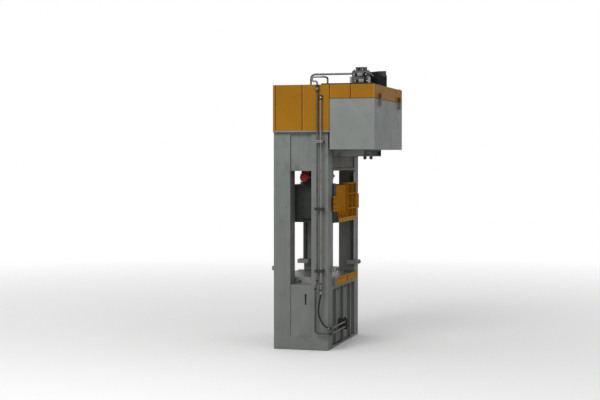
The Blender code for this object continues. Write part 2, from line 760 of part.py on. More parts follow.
def prefill_valve():
    """The large suction valve on the cylinder head, with its branch from the tank."""
    base = CYLINDER_TOP + SEAT
    height = base + PREFILL_FLANGE + BRANCH_ABOVE_FLANGE
    end = TANK_BACK + SEAT
    branch = rod("branch", BRANCH_RADIUS, (0, 0, height), (0, end + BRANCH_FLANGE / 2, height))
    flange = rod("branch_flange", BRANCH_RADIUS + BRANCH_FLANGE_LIP, (0, end + BRANCH_FLANGE, height),
                 (0, end, height))
    profile = [
        (0, base + PREFILL_HEIGHT), (PREFILL_RADIUS, base + PREFILL_HEIGHT),
        (PREFILL_RADIUS, base + PREFILL_FLANGE), (PREFILL_FLANGE_RADIUS, base + PREFILL_FLANGE),
        (PREFILL_FLANGE_RADIUS, base), (0, base)]
    valve = turned("prefill_valve", profile)
    add(valve, branch, flange)
    return paint(valve, "dark_grey_paint")


def slide_gussets(end):
    """Triangular gussets from the panel down to the bottom flange."""
    gussets = []
    foot = SLIDE_BOTTOM + SLIDE_FLANGE / 2
    outline = [(-SLIDE_CORE, foot), (-SLIDE_FRONT + SEAT, foot),
               (-SLIDE_FRONT + SEAT, foot + SLIDE_FLANGE / 2),
               (-SLIDE_CORE, foot + GUSSET_HEIGHT + SLIDE_FLANGE)]
    span = SLIDE_HALF_WIDTH + SLIDE_SPLIT
    for i in range(GUSSET_COUNT):
        x = -SLIDE_HALF_WIDTH + SLIDE_PLATE / 2 + span * i / GUSSET_COUNT
        points = [(y * -end, z) for y, z in outline]
        gussets.append(plate("gusset", [points], SLIDE_PLATE, (x * -end, 0, 0), True))
    return gussets


def slide_cells(end):
    """The open cells of the other half: upright plates and shelves."""
    pieces = []
    y = mirrored(SLIDE_CORE - SLIDE_PLATE, SLIDE_FRONT - SEAT, end)
    foot = SLIDE_BOTTOM + SLIDE_FLANGE / 2
    split = SLIDE_SPLIT
    outer = SLIDE_HALF_WIDTH
    middle = (split + outer) / 2
    for x in (split, middle, outer - SLIDE_PLATE):
        pieces.append(box("cell_plate", mirrored(x, x + SLIDE_PLATE, -end), y,
                          (foot, SLIDE_HIGH_TOP - SLIDE_PLATE / 2)))
    for z in (SLIDE_BOTTOM + SHELF_LOW, SLIDE_BOTTOM + SHELF_HIGH):
        pieces.append(box("cell_shelf", mirrored(split + SEAT, outer - SEAT, -end), y,
                          (z, z + SLIDE_PLATE)))
    pieces.append(box("cell_top", mirrored(split, outer, -end),
                      mirrored(SLIDE_FRONT - CELL_DEPTH, SLIDE_FRONT, end),
                      (SLIDE_HIGH_TOP - SLIDE_PLATE, SLIDE_HIGH_TOP)))
    pieces.append(box("cell_back", mirrored(split, outer, -end),
                      mirrored(SLIDE_FRONT - CELL_DEPTH, SLIDE_CORE - SEAT, end),
                      (SLIDE_TOP - SLIDE_PLATE, SLIDE_HIGH_TOP - SLIDE_PLATE / 2)))
    return pieces


def slide_brackets(end):
    """The guide brackets at mid-height, reaching across the uprights' faces."""
    brackets = []
    for side in (-1, 1):
        inner = SLIDE_HALF_WIDTH - 2 * SLIDE_PLATE
        brackets.append(box("guide_bracket", mirrored(inner, BRACKET_HALF_WIDTH, side),
                            mirrored(SHOE_FRONT + SEAT, BRACKET_FRONT, end),
                            (BRACKET_BOTTOM, BRACKET_TOP)))
        brackets.append(box("end_plate", mirrored(inner, SLIDE_HALF_WIDTH, side),
                            mirrored(SLIDE_CORE - SLIDE_PLATE, BRACKET_FRONT - SEAT, end),
                            (BRACKET_BOTTOM + SEAT, BRACKET_TOP - SEAT)))
    return brackets


def slide_frame(carrier):
    """The welded slide: bottom plate with T-slots, box core, gussets, cells and guide brackets."""
    half = SLIDE_HALF_WIDTH
    core = box("slide_frame", (-half, half), (-SLIDE_CORE, SLIDE_CORE), (SLIDE_BOTTOM, SLIDE_TOP))
    add(core, box("flange", (-half, half), (-SLIDE_FRONT, SLIDE_FRONT),
                  (SLIDE_BOTTOM, SLIDE_BOTTOM + SLIDE_FLANGE)))
    for end in (-1, 1):
        panel = box("panel", mirrored(-half, SLIDE_SPLIT + SEAT, -end),
                    mirrored(SLIDE_CORE - SLIDE_PLATE, SLIDE_PANEL, end),
                    (SLIDE_BOTTOM + SLIDE_FLANGE / 2, SLIDE_TOP))
        add(core, panel, *slide_gussets(end), *slide_cells(end), *slide_brackets(end))
    pocket = rod("rod_pocket", ROD_RADIUS + ROD_FLANGE_LIP + ROD_POCKET_CLEARANCE,
                 (0, 0, SLIDE_TOP - ROD_POCKET_DEPTH), (0, 0, SLIDE_HIGH_TOP + OVERRUN), ROUND_STEPS)
    cut(core, pocket, *t_slot_cutters(SLIDE_FRONT + OVERRUN, SLIDE_BOTTOM, 1))
    return hang_on(paint(core, "yellow_paint"), carrier)


def slide_shoe(carrier, side, end):
    """A bronze-faced shoe beside the slide that laps the front of its rail."""
    inner = SLIDE_HALF_WIDTH + SEAT
    outer = RAIL_INNER - RUNNING
    lip = INNER_FACE - SHOE_LIP_CLEARANCE
    lip_back = HALF_DEPTH + RUNNING
    back = HALF_DEPTH - SHOE_REACH
    corners = [(inner, SHOE_FRONT), (inner, back), (outer, back), (outer, lip_back),
               (lip, lip_back), (lip, SHOE_FRONT)]
    outline = [(x * side, y * end) for x, y in corners]
    name = "slide_shoe_" + ("front_" if end < 0 else "rear_") + side_name(side)
    height = SLIDE_HIGH_TOP - SLIDE_BOTTOM
    shoe = plate(name, [outline], height, (0, 0, SLIDE_BOTTOM + height / 2), False)
    return hang_on(paint(shoe, "black_steel"), carrier)


def lock_plate(carrier, side):
    """The plate on the slide's side that the lock pin enters."""
    inner = SLIDE_HALF_WIDTH + SEAT
    body = box("lock_plate_" + side_name(side), mirrored(inner, inner + LOCK_PLATE_THICKNESS, side),
               (-LOCK_PLATE_WIDTH / 2, LOCK_PLATE_WIDTH / 2),
               (SLIDE_BOTTOM + LOCK_PLATE_LOW, LOCK_HEIGHT + LOCK_PLATE_ABOVE))
    hole = box("lock_hole", mirrored(inner - OVERRUN, inner + LOCK_PLATE_THICKNESS + OVERRUN, side),
               (-LOCK_HOLE / 2, LOCK_HOLE / 2),
               (LOCK_HEIGHT - LOCK_HOLE / 2, LOCK_HEIGHT + LOCK_HOLE / 2))
    cut(body, hole)
    return hang_on(paint(body, "dark_grey_paint"), carrier)


def lock_cylinder(side):
    """The red locking cylinder behind the top of the side window, on a saddle under the crown."""
    length = LOCK_LENGTH
    bore = LOCK_PIN_RADIUS + RUNNING
    depth = LOCK_PIN_LENGTH + 2 * LOCK_COLLAR
    profile = [
        (0, length), (LOCK_RADIUS, length), (LOCK_RADIUS, LOCK_COLLAR),
        (LOCK_RADIUS - LOCK_COLLAR, LOCK_COLLAR), (LOCK_RADIUS - LOCK_COLLAR, 0), (bore, 0), (bore, depth),
        (0, depth)]
    body = turned("lock_cylinder_" + side_name(side), profile, (side * LOCK_INNER, 0, LOCK_HEIGHT),
                  (0, side * math.pi / 2, 0), SMALL_STEPS)
    middle = LOCK_INNER + length / 2
    saddle = box("saddle", mirrored(middle - LOCK_SADDLE_LENGTH / 2, middle + LOCK_SADDLE_LENGTH / 2, side),
                 (-LOCK_SADDLE_WIDTH / 2, LOCK_SADDLE_WIDTH / 2),
                 (LOCK_HEIGHT + (bore + LOCK_RADIUS) / 2, CROWN_BOTTOM - SEAT))
    add(body, saddle)
    return paint(body, "red_paint")


def lock_pin(side):
    """The pin that the locking cylinder pushes inwards."""
    start = side * (LOCK_INNER + RUNNING)
    end = side * (LOCK_INNER + RUNNING + LOCK_PIN_LENGTH)
    pin = rod("lock_pin_" + side_name(side), LOCK_PIN_RADIUS, (start, 0, LOCK_HEIGHT),
              (end, 0, LOCK_HEIGHT))
    return paint(pin, "chrome")


def cushion_cylinder():
    """The cushion cylinder, hung by its flange in the well of the bed."""
    top = BED_HEIGHT - SEAT
    seat = BED_HEIGHT - CUSHION_FLANGE + SEAT
    gland = CUSHION_ROD_RADIUS + SEAT
    profile = [
        (0, CUSHION_BOTTOM + CUSHION_BASE), (CUSHION_BORE, CUSHION_BOTTOM + CUSHION_BASE),
        (CUSHION_BORE, top - CUSHION_GLAND), (gland, top - CUSHION_GLAND), (gland, top),
        (CUSHION_FLANGE_RADIUS, top), (CUSHION_FLANGE_RADIUS, seat), (CUSHION_RADIUS, seat),
        (CUSHION_RADIUS, CUSHION_BOTTOM), (0, CUSHION_BOTTOM)]
    return paint(turned("cushion_cylinder", profile), "cast_iron")


def cushion_rod():
    """The cushion's piston and rod, which rise through the bolster."""
    top = BOLSTER_TOP - CUSHION_ROD_DROP
    piston_top = CUSHION_ROD_BOTTOM + CUSHION_PISTON
    piston = CUSHION_BORE - RUNNING
    profile = [(0, top), (CUSHION_ROD_RADIUS, top), (CUSHION_ROD_RADIUS, piston_top), (piston, piston_top),
               (piston, CUSHION_ROD_BOTTOM), (0, CUSHION_ROD_BOTTOM)]
    return paint(turned("cushion_rod", profile), "chrome")


def deck_plate():
    """The floor plate over the crown that carries the pump sets and the shroud."""
    deck = box("deck_plate", (-SHROUD_HALF_WIDTH, SHROUD_HALF_WIDTH), (DECK_FRONT, SHROUD_BACK),
               (FRAME_HEIGHT + SEAT, DECK_TOP))
    hole = rod("cylinder_hole", CROWN_BORE, (0, 0, FRAME_HEIGHT - OVERRUN), (0, 0, DECK_TOP + OVERRUN),
               ROUND_STEPS)
    cut(deck, hole)
    return paint(deck, "grey_paint")


def shroud_side(side):
    """A side sheet: full height over the deck, and a low strip over the tank."""
    base = DECK_TOP + SEAT
    strip = TANK_TOP + SEAT
    outline = [(DECK_FRONT, base), (SHROUD_BACK, base), (SHROUD_BACK, SHROUD_TOP), (TANK_FRONT, SHROUD_TOP),
               (TANK_FRONT, strip), (DECK_FRONT, strip)]
    middle = side * (SHROUD_HALF_WIDTH - SHEET / 2)
    sheet = plate("shroud_" + side_name(side), [outline], SHEET, (middle, 0, 0), True)
    for share in SIDE_SEAM_SHARES:
        y = SHROUD_BACK + share * (TANK_FRONT - SHROUD_BACK)
        seam = box("seam", mirrored(SHROUD_HALF_WIDTH - SEAM_DEPTH, SHROUD_HALF_WIDTH + OVERRUN, side),
                   (y - SEAM / 2, y + SEAM / 2), (base - OVERRUN, SHROUD_TOP + OVERRUN))
        cut(sheet, seam)
    return paint(sheet, "yellow_paint")


def shroud_end(name, outer, direction, base):
    """The rear sheet, or the low front strip, between the two side sheets."""
    half = SHROUD_HALF_WIDTH - SHEET - SEAT
    sheet = box(name, (-half, half), tuple(sorted((outer, outer - direction * SHEET))), (base, SHROUD_TOP))
    for share in END_SEAM_SHARES:
        x = share * SHROUD_HALF_WIDTH
        seam = box("seam", (x - SEAM / 2, x + SEAM / 2),
                   tuple(sorted((outer - direction * SEAM_DEPTH, outer + direction * OVERRUN))),
                   (base - OVERRUN, SHROUD_TOP + OVERRUN))
        cut(sheet, seam)
    return paint(sheet, "yellow_paint")


def oil_tank():
    """The oil tank in front of the crown, with its two lifting lugs."""
    tank = box("oil_tank", (-SHROUD_HALF_WIDTH, SHROUD_HALF_WIDTH), (TANK_FRONT, TANK_BACK),
               (TANK_BOTTOM, TANK_TOP))
    for side in (-1, 1):
        x = (side * LUG_PLACE - LUG_WIDTH / 2, side * LUG_PLACE + LUG_WIDTH / 2)
        root = box("lug_root", x, (TANK_FRONT - LUG_STAND, TANK_FRONT + LUG_STAND),
                   (TANK_TOP - LUG_BELOW, TANK_TOP - LUG_WIDTH))
        hook = box("lug_hook", (x[0] + SEAT, x[1] - SEAT),
                   (TANK_FRONT - LUG_STAND + SEAT, TANK_FRONT - SEAT),
                   (TANK_TOP - LUG_BELOW + SEAT, TANK_TOP + LUG_ABOVE))
        add(tank, root, hook)
    return paint(tank, "grey_paint")


def tank_bracket():
    """The bracket from the crown's face that carries the tank, with two drain cocks."""
    top = TANK_BOTTOM - SEAT
    bottom = top - BRACKET_HEIGHT
    half = BRACKET_WIDTH / 2
    back = -HALF_DEPTH + CROWN_FACE_RECESS - SEAT
    bracket = box("tank_bracket", (-half, half), (BRACKET_REACH, back), (bottom, top))
    pocket = box("front_pocket", (-half + BRACKET_PLATE, half - BRACKET_PLATE),
                 (BRACKET_REACH - OVERRUN, BRACKET_REACH + BRACKET_POCKET),
                 (bottom + BRACKET_PLATE, top - BRACKET_PLATE))
    cut(bracket, pocket)
    for side in (-1, 1):
        x = side * DRAIN_PLACE
        y = BRACKET_REACH + BRACKET_POCKET + DRAIN_INSET
        drain = rod("drain", DRAIN_RADIUS, (x, y, bottom - DRAIN_HANG), (x, y, bottom + BRACKET_PLATE))
        add(bracket, drain)
    return paint(bracket, "grey_paint")


def finned_housing(name, x, start, end):
    """The ribbed middle of a motor's housing, its cooling fins running along the shaft."""
    outline = []
    root = MOTOR_RADIUS - MOTOR_FIN_HEIGHT
    tip = MOTOR_RADIUS - SEAT
    for i in range(MOTOR_FINS):
        middle = 2 * math.pi * i / MOTOR_FINS
        for radius, edge in ((root, -1), (tip, -1), (tip, 1), (root, 1)):
            angle = middle + edge * MOTOR_FIN_THICKNESS / 2 / radius
            outline.append((radius * math.cos(angle), radius * math.sin(angle)))
    housing = plate(name, [outline], end - start, (x, (start + end) / 2, MOTOR_AXIS), False)
    housing.rotation_euler = (math.pi / 2, 0, 0)
    return housing


def motor(side):
    """A foot-mounted electric motor on the deck, its shaft towards the front."""
    x = side * MOTOR_PLACE
    end = MOTOR_START + MOTOR_LENGTH
    body = finned_housing("motor_" + side_name(side), x, MOTOR_START + MOTOR_SHIELD / 2,
                          end - MOTOR_COWL / 2)
    shield = rod("end_shield", MOTOR_RADIUS, (x, MOTOR_START, MOTOR_AXIS),
                 (x, MOTOR_START + MOTOR_SHIELD, MOTOR_AXIS), ROUND_STEPS)
    cowl = rod("fan_cowl", MOTOR_RADIUS + MOTOR_COWL_LIP, (x, end - MOTOR_COWL, MOTOR_AXIS),
               (x, end, MOTOR_AXIS), ROUND_STEPS)
    middle = MOTOR_START + MOTOR_LENGTH / 2
    foot = box("motor_foot", (x - MOTOR_FOOT_WIDTH / 2, x + MOTOR_FOOT_WIDTH / 2),
               (middle - MOTOR_FOOT_LENGTH / 2, middle + MOTOR_FOOT_LENGTH / 2),
               (DECK_TOP + SEAT, MOTOR_AXIS - MOTOR_RADIUS / 2))
    terminals = box("terminals", (x - MOTOR_BOX / 2, x + MOTOR_BOX / 2),
                    (middle - MOTOR_BOX / 2, middle + MOTOR_BOX / 2),
                    (MOTOR_AXIS, MOTOR_AXIS + MOTOR_RADIUS + MOTOR_BOX_HEIGHT))
    add(body, shield, cowl, foot, terminals)
    return paint(body, "motor_blue_grey")


def pump(side):
    """The pump flanged to the motor through its bell housing, with its suction pipe from the tank."""
    reach = MOTOR_START - TANK_BACK - 2 * SEAT
    flange = SUCTION_RADIUS + SUCTION_FLANGE_LIP
    profile = [
        (0, 0), (PUMP_BELL_RADIUS, 0), (PUMP_BELL_RADIUS, -PUMP_BELL), (PUMP_RADIUS, -PUMP_BELL),
        (PUMP_RADIUS, -PUMP_LENGTH), (SUCTION_RADIUS, -PUMP_LENGTH),
        (SUCTION_RADIUS, SUCTION_FLANGE - reach), (flange, SUCTION_FLANGE - reach), (flange, -reach),
        (0, -reach)]
    body = turned("pump_" + side_name(side), profile, (side * MOTOR_PLACE, MOTOR_START - SEAT, MOTOR_AXIS),
                  (-math.pi / 2, 0, 0), SMALL_STEPS)
    return paint(body, "cast_iron")


def valve_manifold():
    """The drilled block on the tank with its valves standing on top and out of both sides."""
    right = MANIFOLD_LEFT + MANIFOLD_WIDTH
    front = MANIFOLD_BACK - MANIFOLD_DEPTH
    block = box("valve_manifold", (MANIFOLD_LEFT, right), (front, MANIFOLD_BACK),
                (TANK_TOP + SEAT, MANIFOLD_TOP))
    height = (MANIFOLD_TOP - TANK_TOP) / (VALVE_ROWS + 1)
    width = MANIFOLD_DEPTH / (VALVE_ROWS + 1)
    middle = MANIFOLD_LEFT + MANIFOLD_WIDTH / 2
    for i in range(VALVE_ROWS):
        y = front + width * (i + 1)
        top = rod("valve_cap", VALVE_CAP_RADIUS, (middle, y, MANIFOLD_TOP - OVERRUN),
                  (middle, y, MANIFOLD_TOP + VALVE_CAP_HEIGHT), SMALL_STEPS)
        z = TANK_TOP + height * (i + 1)
        coil = rod("valve_coil", VALVE_RADIUS, (right - OVERRUN, front + MANIFOLD_DEPTH / 2, z),
                   (right + VALVE_LENGTH, front + MANIFOLD_DEPTH / 2, z), SMALL_STEPS)
        add(block, top, coil)
    return paint(block, "cast_iron")


def cooler_cabinet():
    """The black oil cooler on the tank, open at the back round its fan."""
    cabinet = box("cooler_cabinet", (COOLER_LEFT, COOLER_RIGHT), (COOLER_FRONT, COOLER_BACK),
                  (TANK_TOP + SEAT, COOLER_TOP))
    x, z = fan_centre()
    floor = COOLER_BACK - FAN_POCKET
    pocket = rod("fan_pocket", FAN_RADIUS + FAN_CLEARANCE, (x, floor, z), (x, COOLER_BACK + OVERRUN, z),
                 ROUND_STEPS)
    cut(cabinet, pocket)
    boss_end = COOLER_BACK - FAN_INSET - FAN_THICKNESS - SEAT
    add(cabinet, rod("fan_motor", FAN_HUB_RADIUS, (x, floor - FAN_INSET, z), (x, boss_end, z)),
        rod("filler_knob", KNOB_RADIUS, (COOLER_RIGHT - KNOB_LENGTH, (COOLER_FRONT + COOLER_BACK) / 2,
                                         COOLER_TOP - KNOB_LENGTH * 2),
            (COOLER_RIGHT + KNOB_LENGTH, (COOLER_FRONT + COOLER_BACK) / 2, COOLER_TOP - KNOB_LENGTH * 2)))
    return paint(cabinet, "black_steel")


def fan_centre():
    return (COOLER_LEFT + COOLER_RIGHT) / 2, (TANK_TOP + COOLER_TOP) / 2


def cooler_fan():
    """The cooler's fan: a hub with pitched blades."""
    x, z = fan_centre()
    y = COOLER_BACK - FAN_INSET - FAN_THICKNESS / 2
    hub = rod("cooler_fan", FAN_HUB_RADIUS, (x, y - FAN_THICKNESS / 2, z), (x, y + FAN_THICKNESS / 2, z))
    reach = (FAN_HUB_RADIUS / 2 + FAN_RADIUS) / 2
    for i in range(FAN_BLADES):
        blade = box("blade", (-FAN_BLADE_CHORD / 2, FAN_BLADE_CHORD / 2),
                    (-FAN_BLADE_THICKNESS / 2, FAN_BLADE_THICKNESS / 2),
                    (FAN_HUB_RADIUS / 2, FAN_RADIUS - FAN_CLEARANCE))
        angle = 2 * math.pi * i / FAN_BLADES
        blade.location = (x + reach * math.sin(angle), y, z + reach * math.cos(angle))
        blade.rotation_mode = "QUATERNION"
        blade.rotation_quaternion = Quaternion((0, 1, 0), angle) @ Quaternion((0, 0, 1), FAN_BLADE_PITCH)
        add(hub, blade)
    return paint(hub, "dark_grey_paint")


def pipe_clamp(name, height):
    """A bar on the upright's side, bored for the two pipes."""
    middle = (MAIN_PIPE_PLACE + CUSHION_PIPE_PLACE) / 2
    bar = box(name, (PIPE_X - PIPE_RADIUS - CLAMP_COVER, -HALF_WIDTH - SEAT),
              (middle - CLAMP_WIDTH / 2, middle + CLAMP_WIDTH / 2),
              (height - CLAMP_HEIGHT / 2, height + CLAMP_HEIGHT / 2))
    for y in (MAIN_PIPE_PLACE, CUSHION_PIPE_PLACE):
        cut(bar, rod("pipe_hole", PIPE_RADIUS + PIPE_HOLE_CLEARANCE, (PIPE_X, y, height - CLAMP_HEIGHT),
                     (PIPE_X, y, height + CLAMP_HEIGHT)))
    return paint(bar, "black_steel")


def side_pipes():
    """The two pipes down the left upright; the cushion line ends at the hose coupling."""
    jog = BED_HEIGHT + PIPE_JOG_ABOVE_BED
    low_place = -HALF_DEPTH + MAIN_PIPE_LOW_INSET
    top = SHROUD_TOP - CUSHION_PIPE_BELOW_TOP
    main = bent_pipe("side_pipe_main", [
        (PIPE_X, MAIN_PIPE_PLACE, MAIN_PIPE_TOP - SEAT),
        (PIPE_X, MAIN_PIPE_PLACE, jog + PIPE_JOG_HEIGHT),
        (PIPE_X, low_place, jog),
        (PIPE_X, low_place, LOWER_BED_PIPE),
        (PIPE_X, BED_PIPE_FRONT + ELBOW_RADIUS + SEAT, LOWER_BED_PIPE)], PIPE_BEND)
    cushion = bent_pipe("side_pipe_cushion", [
        (PIPE_X, CUSHION_PIPE_PLACE, COUPLING_LOW),
        (PIPE_X, CUSHION_PIPE_PLACE, top),
        (-SHROUD_HALF_WIDTH - SEAT, CUSHION_PIPE_PLACE, top)], PIPE_RADIUS)
    for height in (COUPLING_LOW, COUPLING_LOW + COUPLING_PITCH):
        add(cushion, rod("coupling", COUPLING_RADIUS,
                         (PIPE_X, CUSHION_PIPE_PLACE, height - COUPLING_HEIGHT / 2),
                         (PIPE_X, CUSHION_PIPE_PLACE, height + COUPLING_HEIGHT / 2)))
    paint(main, "bare_steel")
    paint(cushion, "bare_steel")


def side_pipe_flange():
    """The flanged union on top of the main line."""
    union = rod("side_pipe_flange", FLANGE_RADIUS, (PIPE_X, MAIN_PIPE_PLACE, MAIN_PIPE_TOP),
                (PIPE_X, MAIN_PIPE_PLACE, MAIN_PIPE_TOP + FLANGE_HEIGHT))
    return paint(union, "black_steel")


def top_pipes():
    """The pipe from the deck to the manifold, and the return bend from the main line."""
    x = -SHROUD_HALF_WIDTH + DECK_PIPE_INSET
    y = DECK_FRONT + DECK_PIPE_FROM_FRONT
    z = SHROUD_TOP + DECK_PIPE_RISE
    main = bent_pipe("top_pipe_main", [(x, y, DECK_TOP + SEAT), (x, y, z), (x, MANIFOLD_BACK + SEAT, z)],
                     DECK_PIPE_BEND)
    inner = -SHROUD_HALF_WIDTH + RETURN_INSET
    start = MAIN_PIPE_TOP + FLANGE_HEIGHT
    low = start + RETURN_RISE
    high = low + RETURN_CLIMB
    rear = MAIN_PIPE_PLACE + RETURN_BACK_REACH
    front = MAIN_PIPE_PLACE - RETURN_FRONT_REACH
    back = bent_pipe("top_pipe_return", [
        (PIPE_X, MAIN_PIPE_PLACE, start + SEAT), (PIPE_X, MAIN_PIPE_PLACE, low), (PIPE_X, rear, low),
        (PIPE_X, rear, high), (PIPE_X, front, high), (inner, front, high), (inner, front, DECK_TOP + SEAT)],
        RETURN_BEND)
    paint(main, "bare_steel")
    paint(back, "bare_steel")


def bed_port_block():
    """The block on the bed's face that both bed pipes run into."""
    middle = (UPPER_BED_PIPE + LOWER_BED_PIPE) / 2
    block = box("bed_port_block", (BED_PIPE_END, BED_PIPE_END + PORT_WIDTH),
                (BED_PIPE_FRONT - PIPE_RADIUS * 2, BED_FACE - SEAT),
                (middle - PORT_HEIGHT / 2, middle + PORT_HEIGHT / 2))
    return paint(block, "black_steel")


def bed_pipes():
    """Two pipes across the bed's front, each from an elbow at the upright's corner."""
    for name, height in (("upper", UPPER_BED_PIPE), ("lower", LOWER_BED_PIPE)):
        start = PIPE_X - ELBOW_RADIUS
        elbow = rod("pipe_elbow_" + name, ELBOW_RADIUS, (start, BED_PIPE_FRONT, height),
                    (start + ELBOW_LENGTH, BED_PIPE_FRONT, height), SMALL_STEPS)
        pipe = rod("bed_pipe_" + name, PIPE_RADIUS, (start + ELBOW_LENGTH + SEAT, BED_PIPE_FRONT, height),
                   (BED_PIPE_END - SEAT, BED_PIPE_FRONT, height), SMALL_STEPS)
        paint(elbow, "black_steel")
        paint(pipe, "bare_steel")


def cushion_hose():
    """The rubber hose from the cushion line's coupling to the upper elbow."""
    start = Vector((PIPE_X, CUSHION_PIPE_PLACE, COUPLING_LOW - COUPLING_HEIGHT / 2 - SEAT))
    end = Vector((PIPE_X, BED_PIPE_FRONT + ELBOW_RADIUS + SEAT, UPPER_BED_PIPE))
    way = end - start
    route = [start + Vector((0, way.y * ahead, way.z * down)) for ahead, down in HOSE_SHARES]
    return paint(tube("cushion_hose", [start, *route, end], HOSE_RADIUS), "rubber")


def build_frame():
    for side in (-1, 1):
        side_frame(side)
        bolster_strip(side)
        lock_cylinder(side)
        lock_pin(side)
        for end in (-1, 1):
            rail_foot(side, end)
            guide_rail(side, end)
    crown_beam()
    bed_beam()
    bolster_plate()
    main_cylinder()
    gland_ring()
    prefill_valve()
    cushion_cylinder()
    cushion_rod()


def build_slide():
    carrier = bpy.data.objects.new("slide_axis", None)
    carrier.location = (0, 0, SLIDE_BOTTOM)
    PRESS.objects.link(carrier)
    slide_frame(carrier)
    piston_rod(carrier)
    for side in (-1, 1):
        lock_plate(carrier, side)
        for end in (-1, 1):
            slide_shoe(carrier, side, end)


def build_top():
    deck_plate()
    for side in (-1, 1):
        shroud_side(side)
        motor(side)
        pump(side)
    shroud_end("shroud_rear", SHROUD_BACK, 1, DECK_TOP + SEAT)
    shroud_end("shroud_front", TANK_FRONT, -1, TANK_TOP + SEAT)
    oil_tank()
    tank_bracket()
    valve_manifold()
    cooler_cabinet()
    cooler_fan()


def build_pipes():
    for name, share in zip(("pipe_clamp_low", "pipe_clamp_middle", "pipe_clamp_high"), CLAMP_SHARES):
        pipe_clamp(name, share * FRAME_HEIGHT)
    side_pipes()
    side_pipe_flange()
    top_pipes()
    bed_port_block()
    bed_pipes()
    cushion_hose()


build_frame()
build_slide()
build_top()
build_pipes()
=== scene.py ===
"""The looks of a straight-side hydraulic press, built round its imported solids."""
import json
import math

import bmesh
import bpy
from mathutils import Matrix, Vector

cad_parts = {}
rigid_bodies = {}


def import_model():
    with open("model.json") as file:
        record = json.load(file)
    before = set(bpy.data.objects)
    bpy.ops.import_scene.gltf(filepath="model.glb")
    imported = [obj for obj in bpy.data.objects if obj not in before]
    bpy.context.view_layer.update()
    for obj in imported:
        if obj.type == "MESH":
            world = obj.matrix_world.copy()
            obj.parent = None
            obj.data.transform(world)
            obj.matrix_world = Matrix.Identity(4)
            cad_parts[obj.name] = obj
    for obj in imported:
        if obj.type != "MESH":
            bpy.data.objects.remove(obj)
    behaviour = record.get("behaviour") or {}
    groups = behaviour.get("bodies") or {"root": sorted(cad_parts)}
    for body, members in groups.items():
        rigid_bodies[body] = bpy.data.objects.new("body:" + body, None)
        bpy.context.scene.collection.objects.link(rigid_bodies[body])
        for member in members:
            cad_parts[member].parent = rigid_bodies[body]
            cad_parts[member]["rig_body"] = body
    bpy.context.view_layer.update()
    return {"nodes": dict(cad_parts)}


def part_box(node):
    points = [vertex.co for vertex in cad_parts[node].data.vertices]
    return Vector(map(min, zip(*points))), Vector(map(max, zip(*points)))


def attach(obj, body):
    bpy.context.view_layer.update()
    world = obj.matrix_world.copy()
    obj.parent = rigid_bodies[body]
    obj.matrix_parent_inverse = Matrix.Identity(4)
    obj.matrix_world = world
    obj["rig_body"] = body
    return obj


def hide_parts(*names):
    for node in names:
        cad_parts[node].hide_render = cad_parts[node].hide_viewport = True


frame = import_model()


# Camera: it stands 31 m off, to the left of the press and a little in front of it, at the height of the
# slide, with a long lens held almost level.
eye = bpy.data.objects.new("eye", bpy.data.cameras.new("eye"))
bpy.context.scene.collection.objects.link(eye)
TILT_DOWN = math.radians(1.895)
gaze = Vector((0.9628, 0.2702, -math.tan(TILT_DOWN)))
eye.location = (-30.075, -8.002, 4.42)
eye.rotation_euler = gaze.to_track_quat("-Z", "Y").to_euler()
eye.data.lens = 78
eye.data.sensor_width = 36
eye.data.clip_end = 300
bpy.context.scene.camera = eye
bpy.context.scene.view_settings.view_transform = "Standard"


# Floor and light: a pale floor that fades to white far off and gives back little light, an even white sky,
# and one large soft lamp high on the left, where a hall's windows would be.
def shader_node(tree, kind, inputs=None, **settings):
    """Adds a shader node. An input's value is a number, a colour or another node's socket."""
    made = tree.nodes.new("ShaderNode" + kind)
    for setting, value in settings.items():
        setattr(made, setting, value)
    for socket, value in (inputs or {}).items():
        if isinstance(value, bpy.types.NodeSocket):
            tree.links.new(value, made.inputs[socket])
        else:
            made.inputs[socket].default_value = value
    return made


def remap(tree, value, low, high, start=0.0, end=1.0):
    """Turns a span of a value into another, and stays within it."""
    spans = {"Value": value, "From Min": low, "From Max": high, "To Min": start, "To Max": end}
    return shader_node(tree, "MapRange", spans).outputs[0]


def calculated(tree, operation, first, second):
    return shader_node(tree, "Math", {0: first, 1: second}, operation=operation).outputs[0]


def seen_directly(tree):
    """1 for rays from the camera, off gloss and through glass, and 0 for the rays that light things."""
    rays = shader_node(tree, "LightPath").outputs
    either = calculated(tree, "MAXIMUM", rays["Is Camera Ray"], rays["Is Glossy Ray"])
    return calculated(tree, "MAXIMUM", either, rays["Is Transmission Ray"])


sky = bpy.data.worlds.new("sky")
sky.use_nodes = True
bpy.context.scene.world = sky
SKY_LIGHT = 0.72
brightness = remap(sky.node_tree, seen_directly(sky.node_tree), 0.0, 1.0, SKY_LIGHT, 1.0)
background = sky.node_tree.nodes["Background"]
background.inputs["Color"].default_value = (1.0, 1.0, 1.0, 1.0)
sky.node_tree.links.new(brightness, background.inputs["Strength"])

lamp = bpy.data.objects.new("lamp", bpy.data.lights.new("lamp", "AREA"))
bpy.context.scene.collection.objects.link(lamp)
lamp.location = (-16.0, 4.0, 15.0)
lamp.rotation_euler = (Vector((0, -0.5, 3.0)) - lamp.location).to_track_quat("-Z", "Y").to_euler()
lamp.data.size = 9.0
lamp.data.energy = 1900

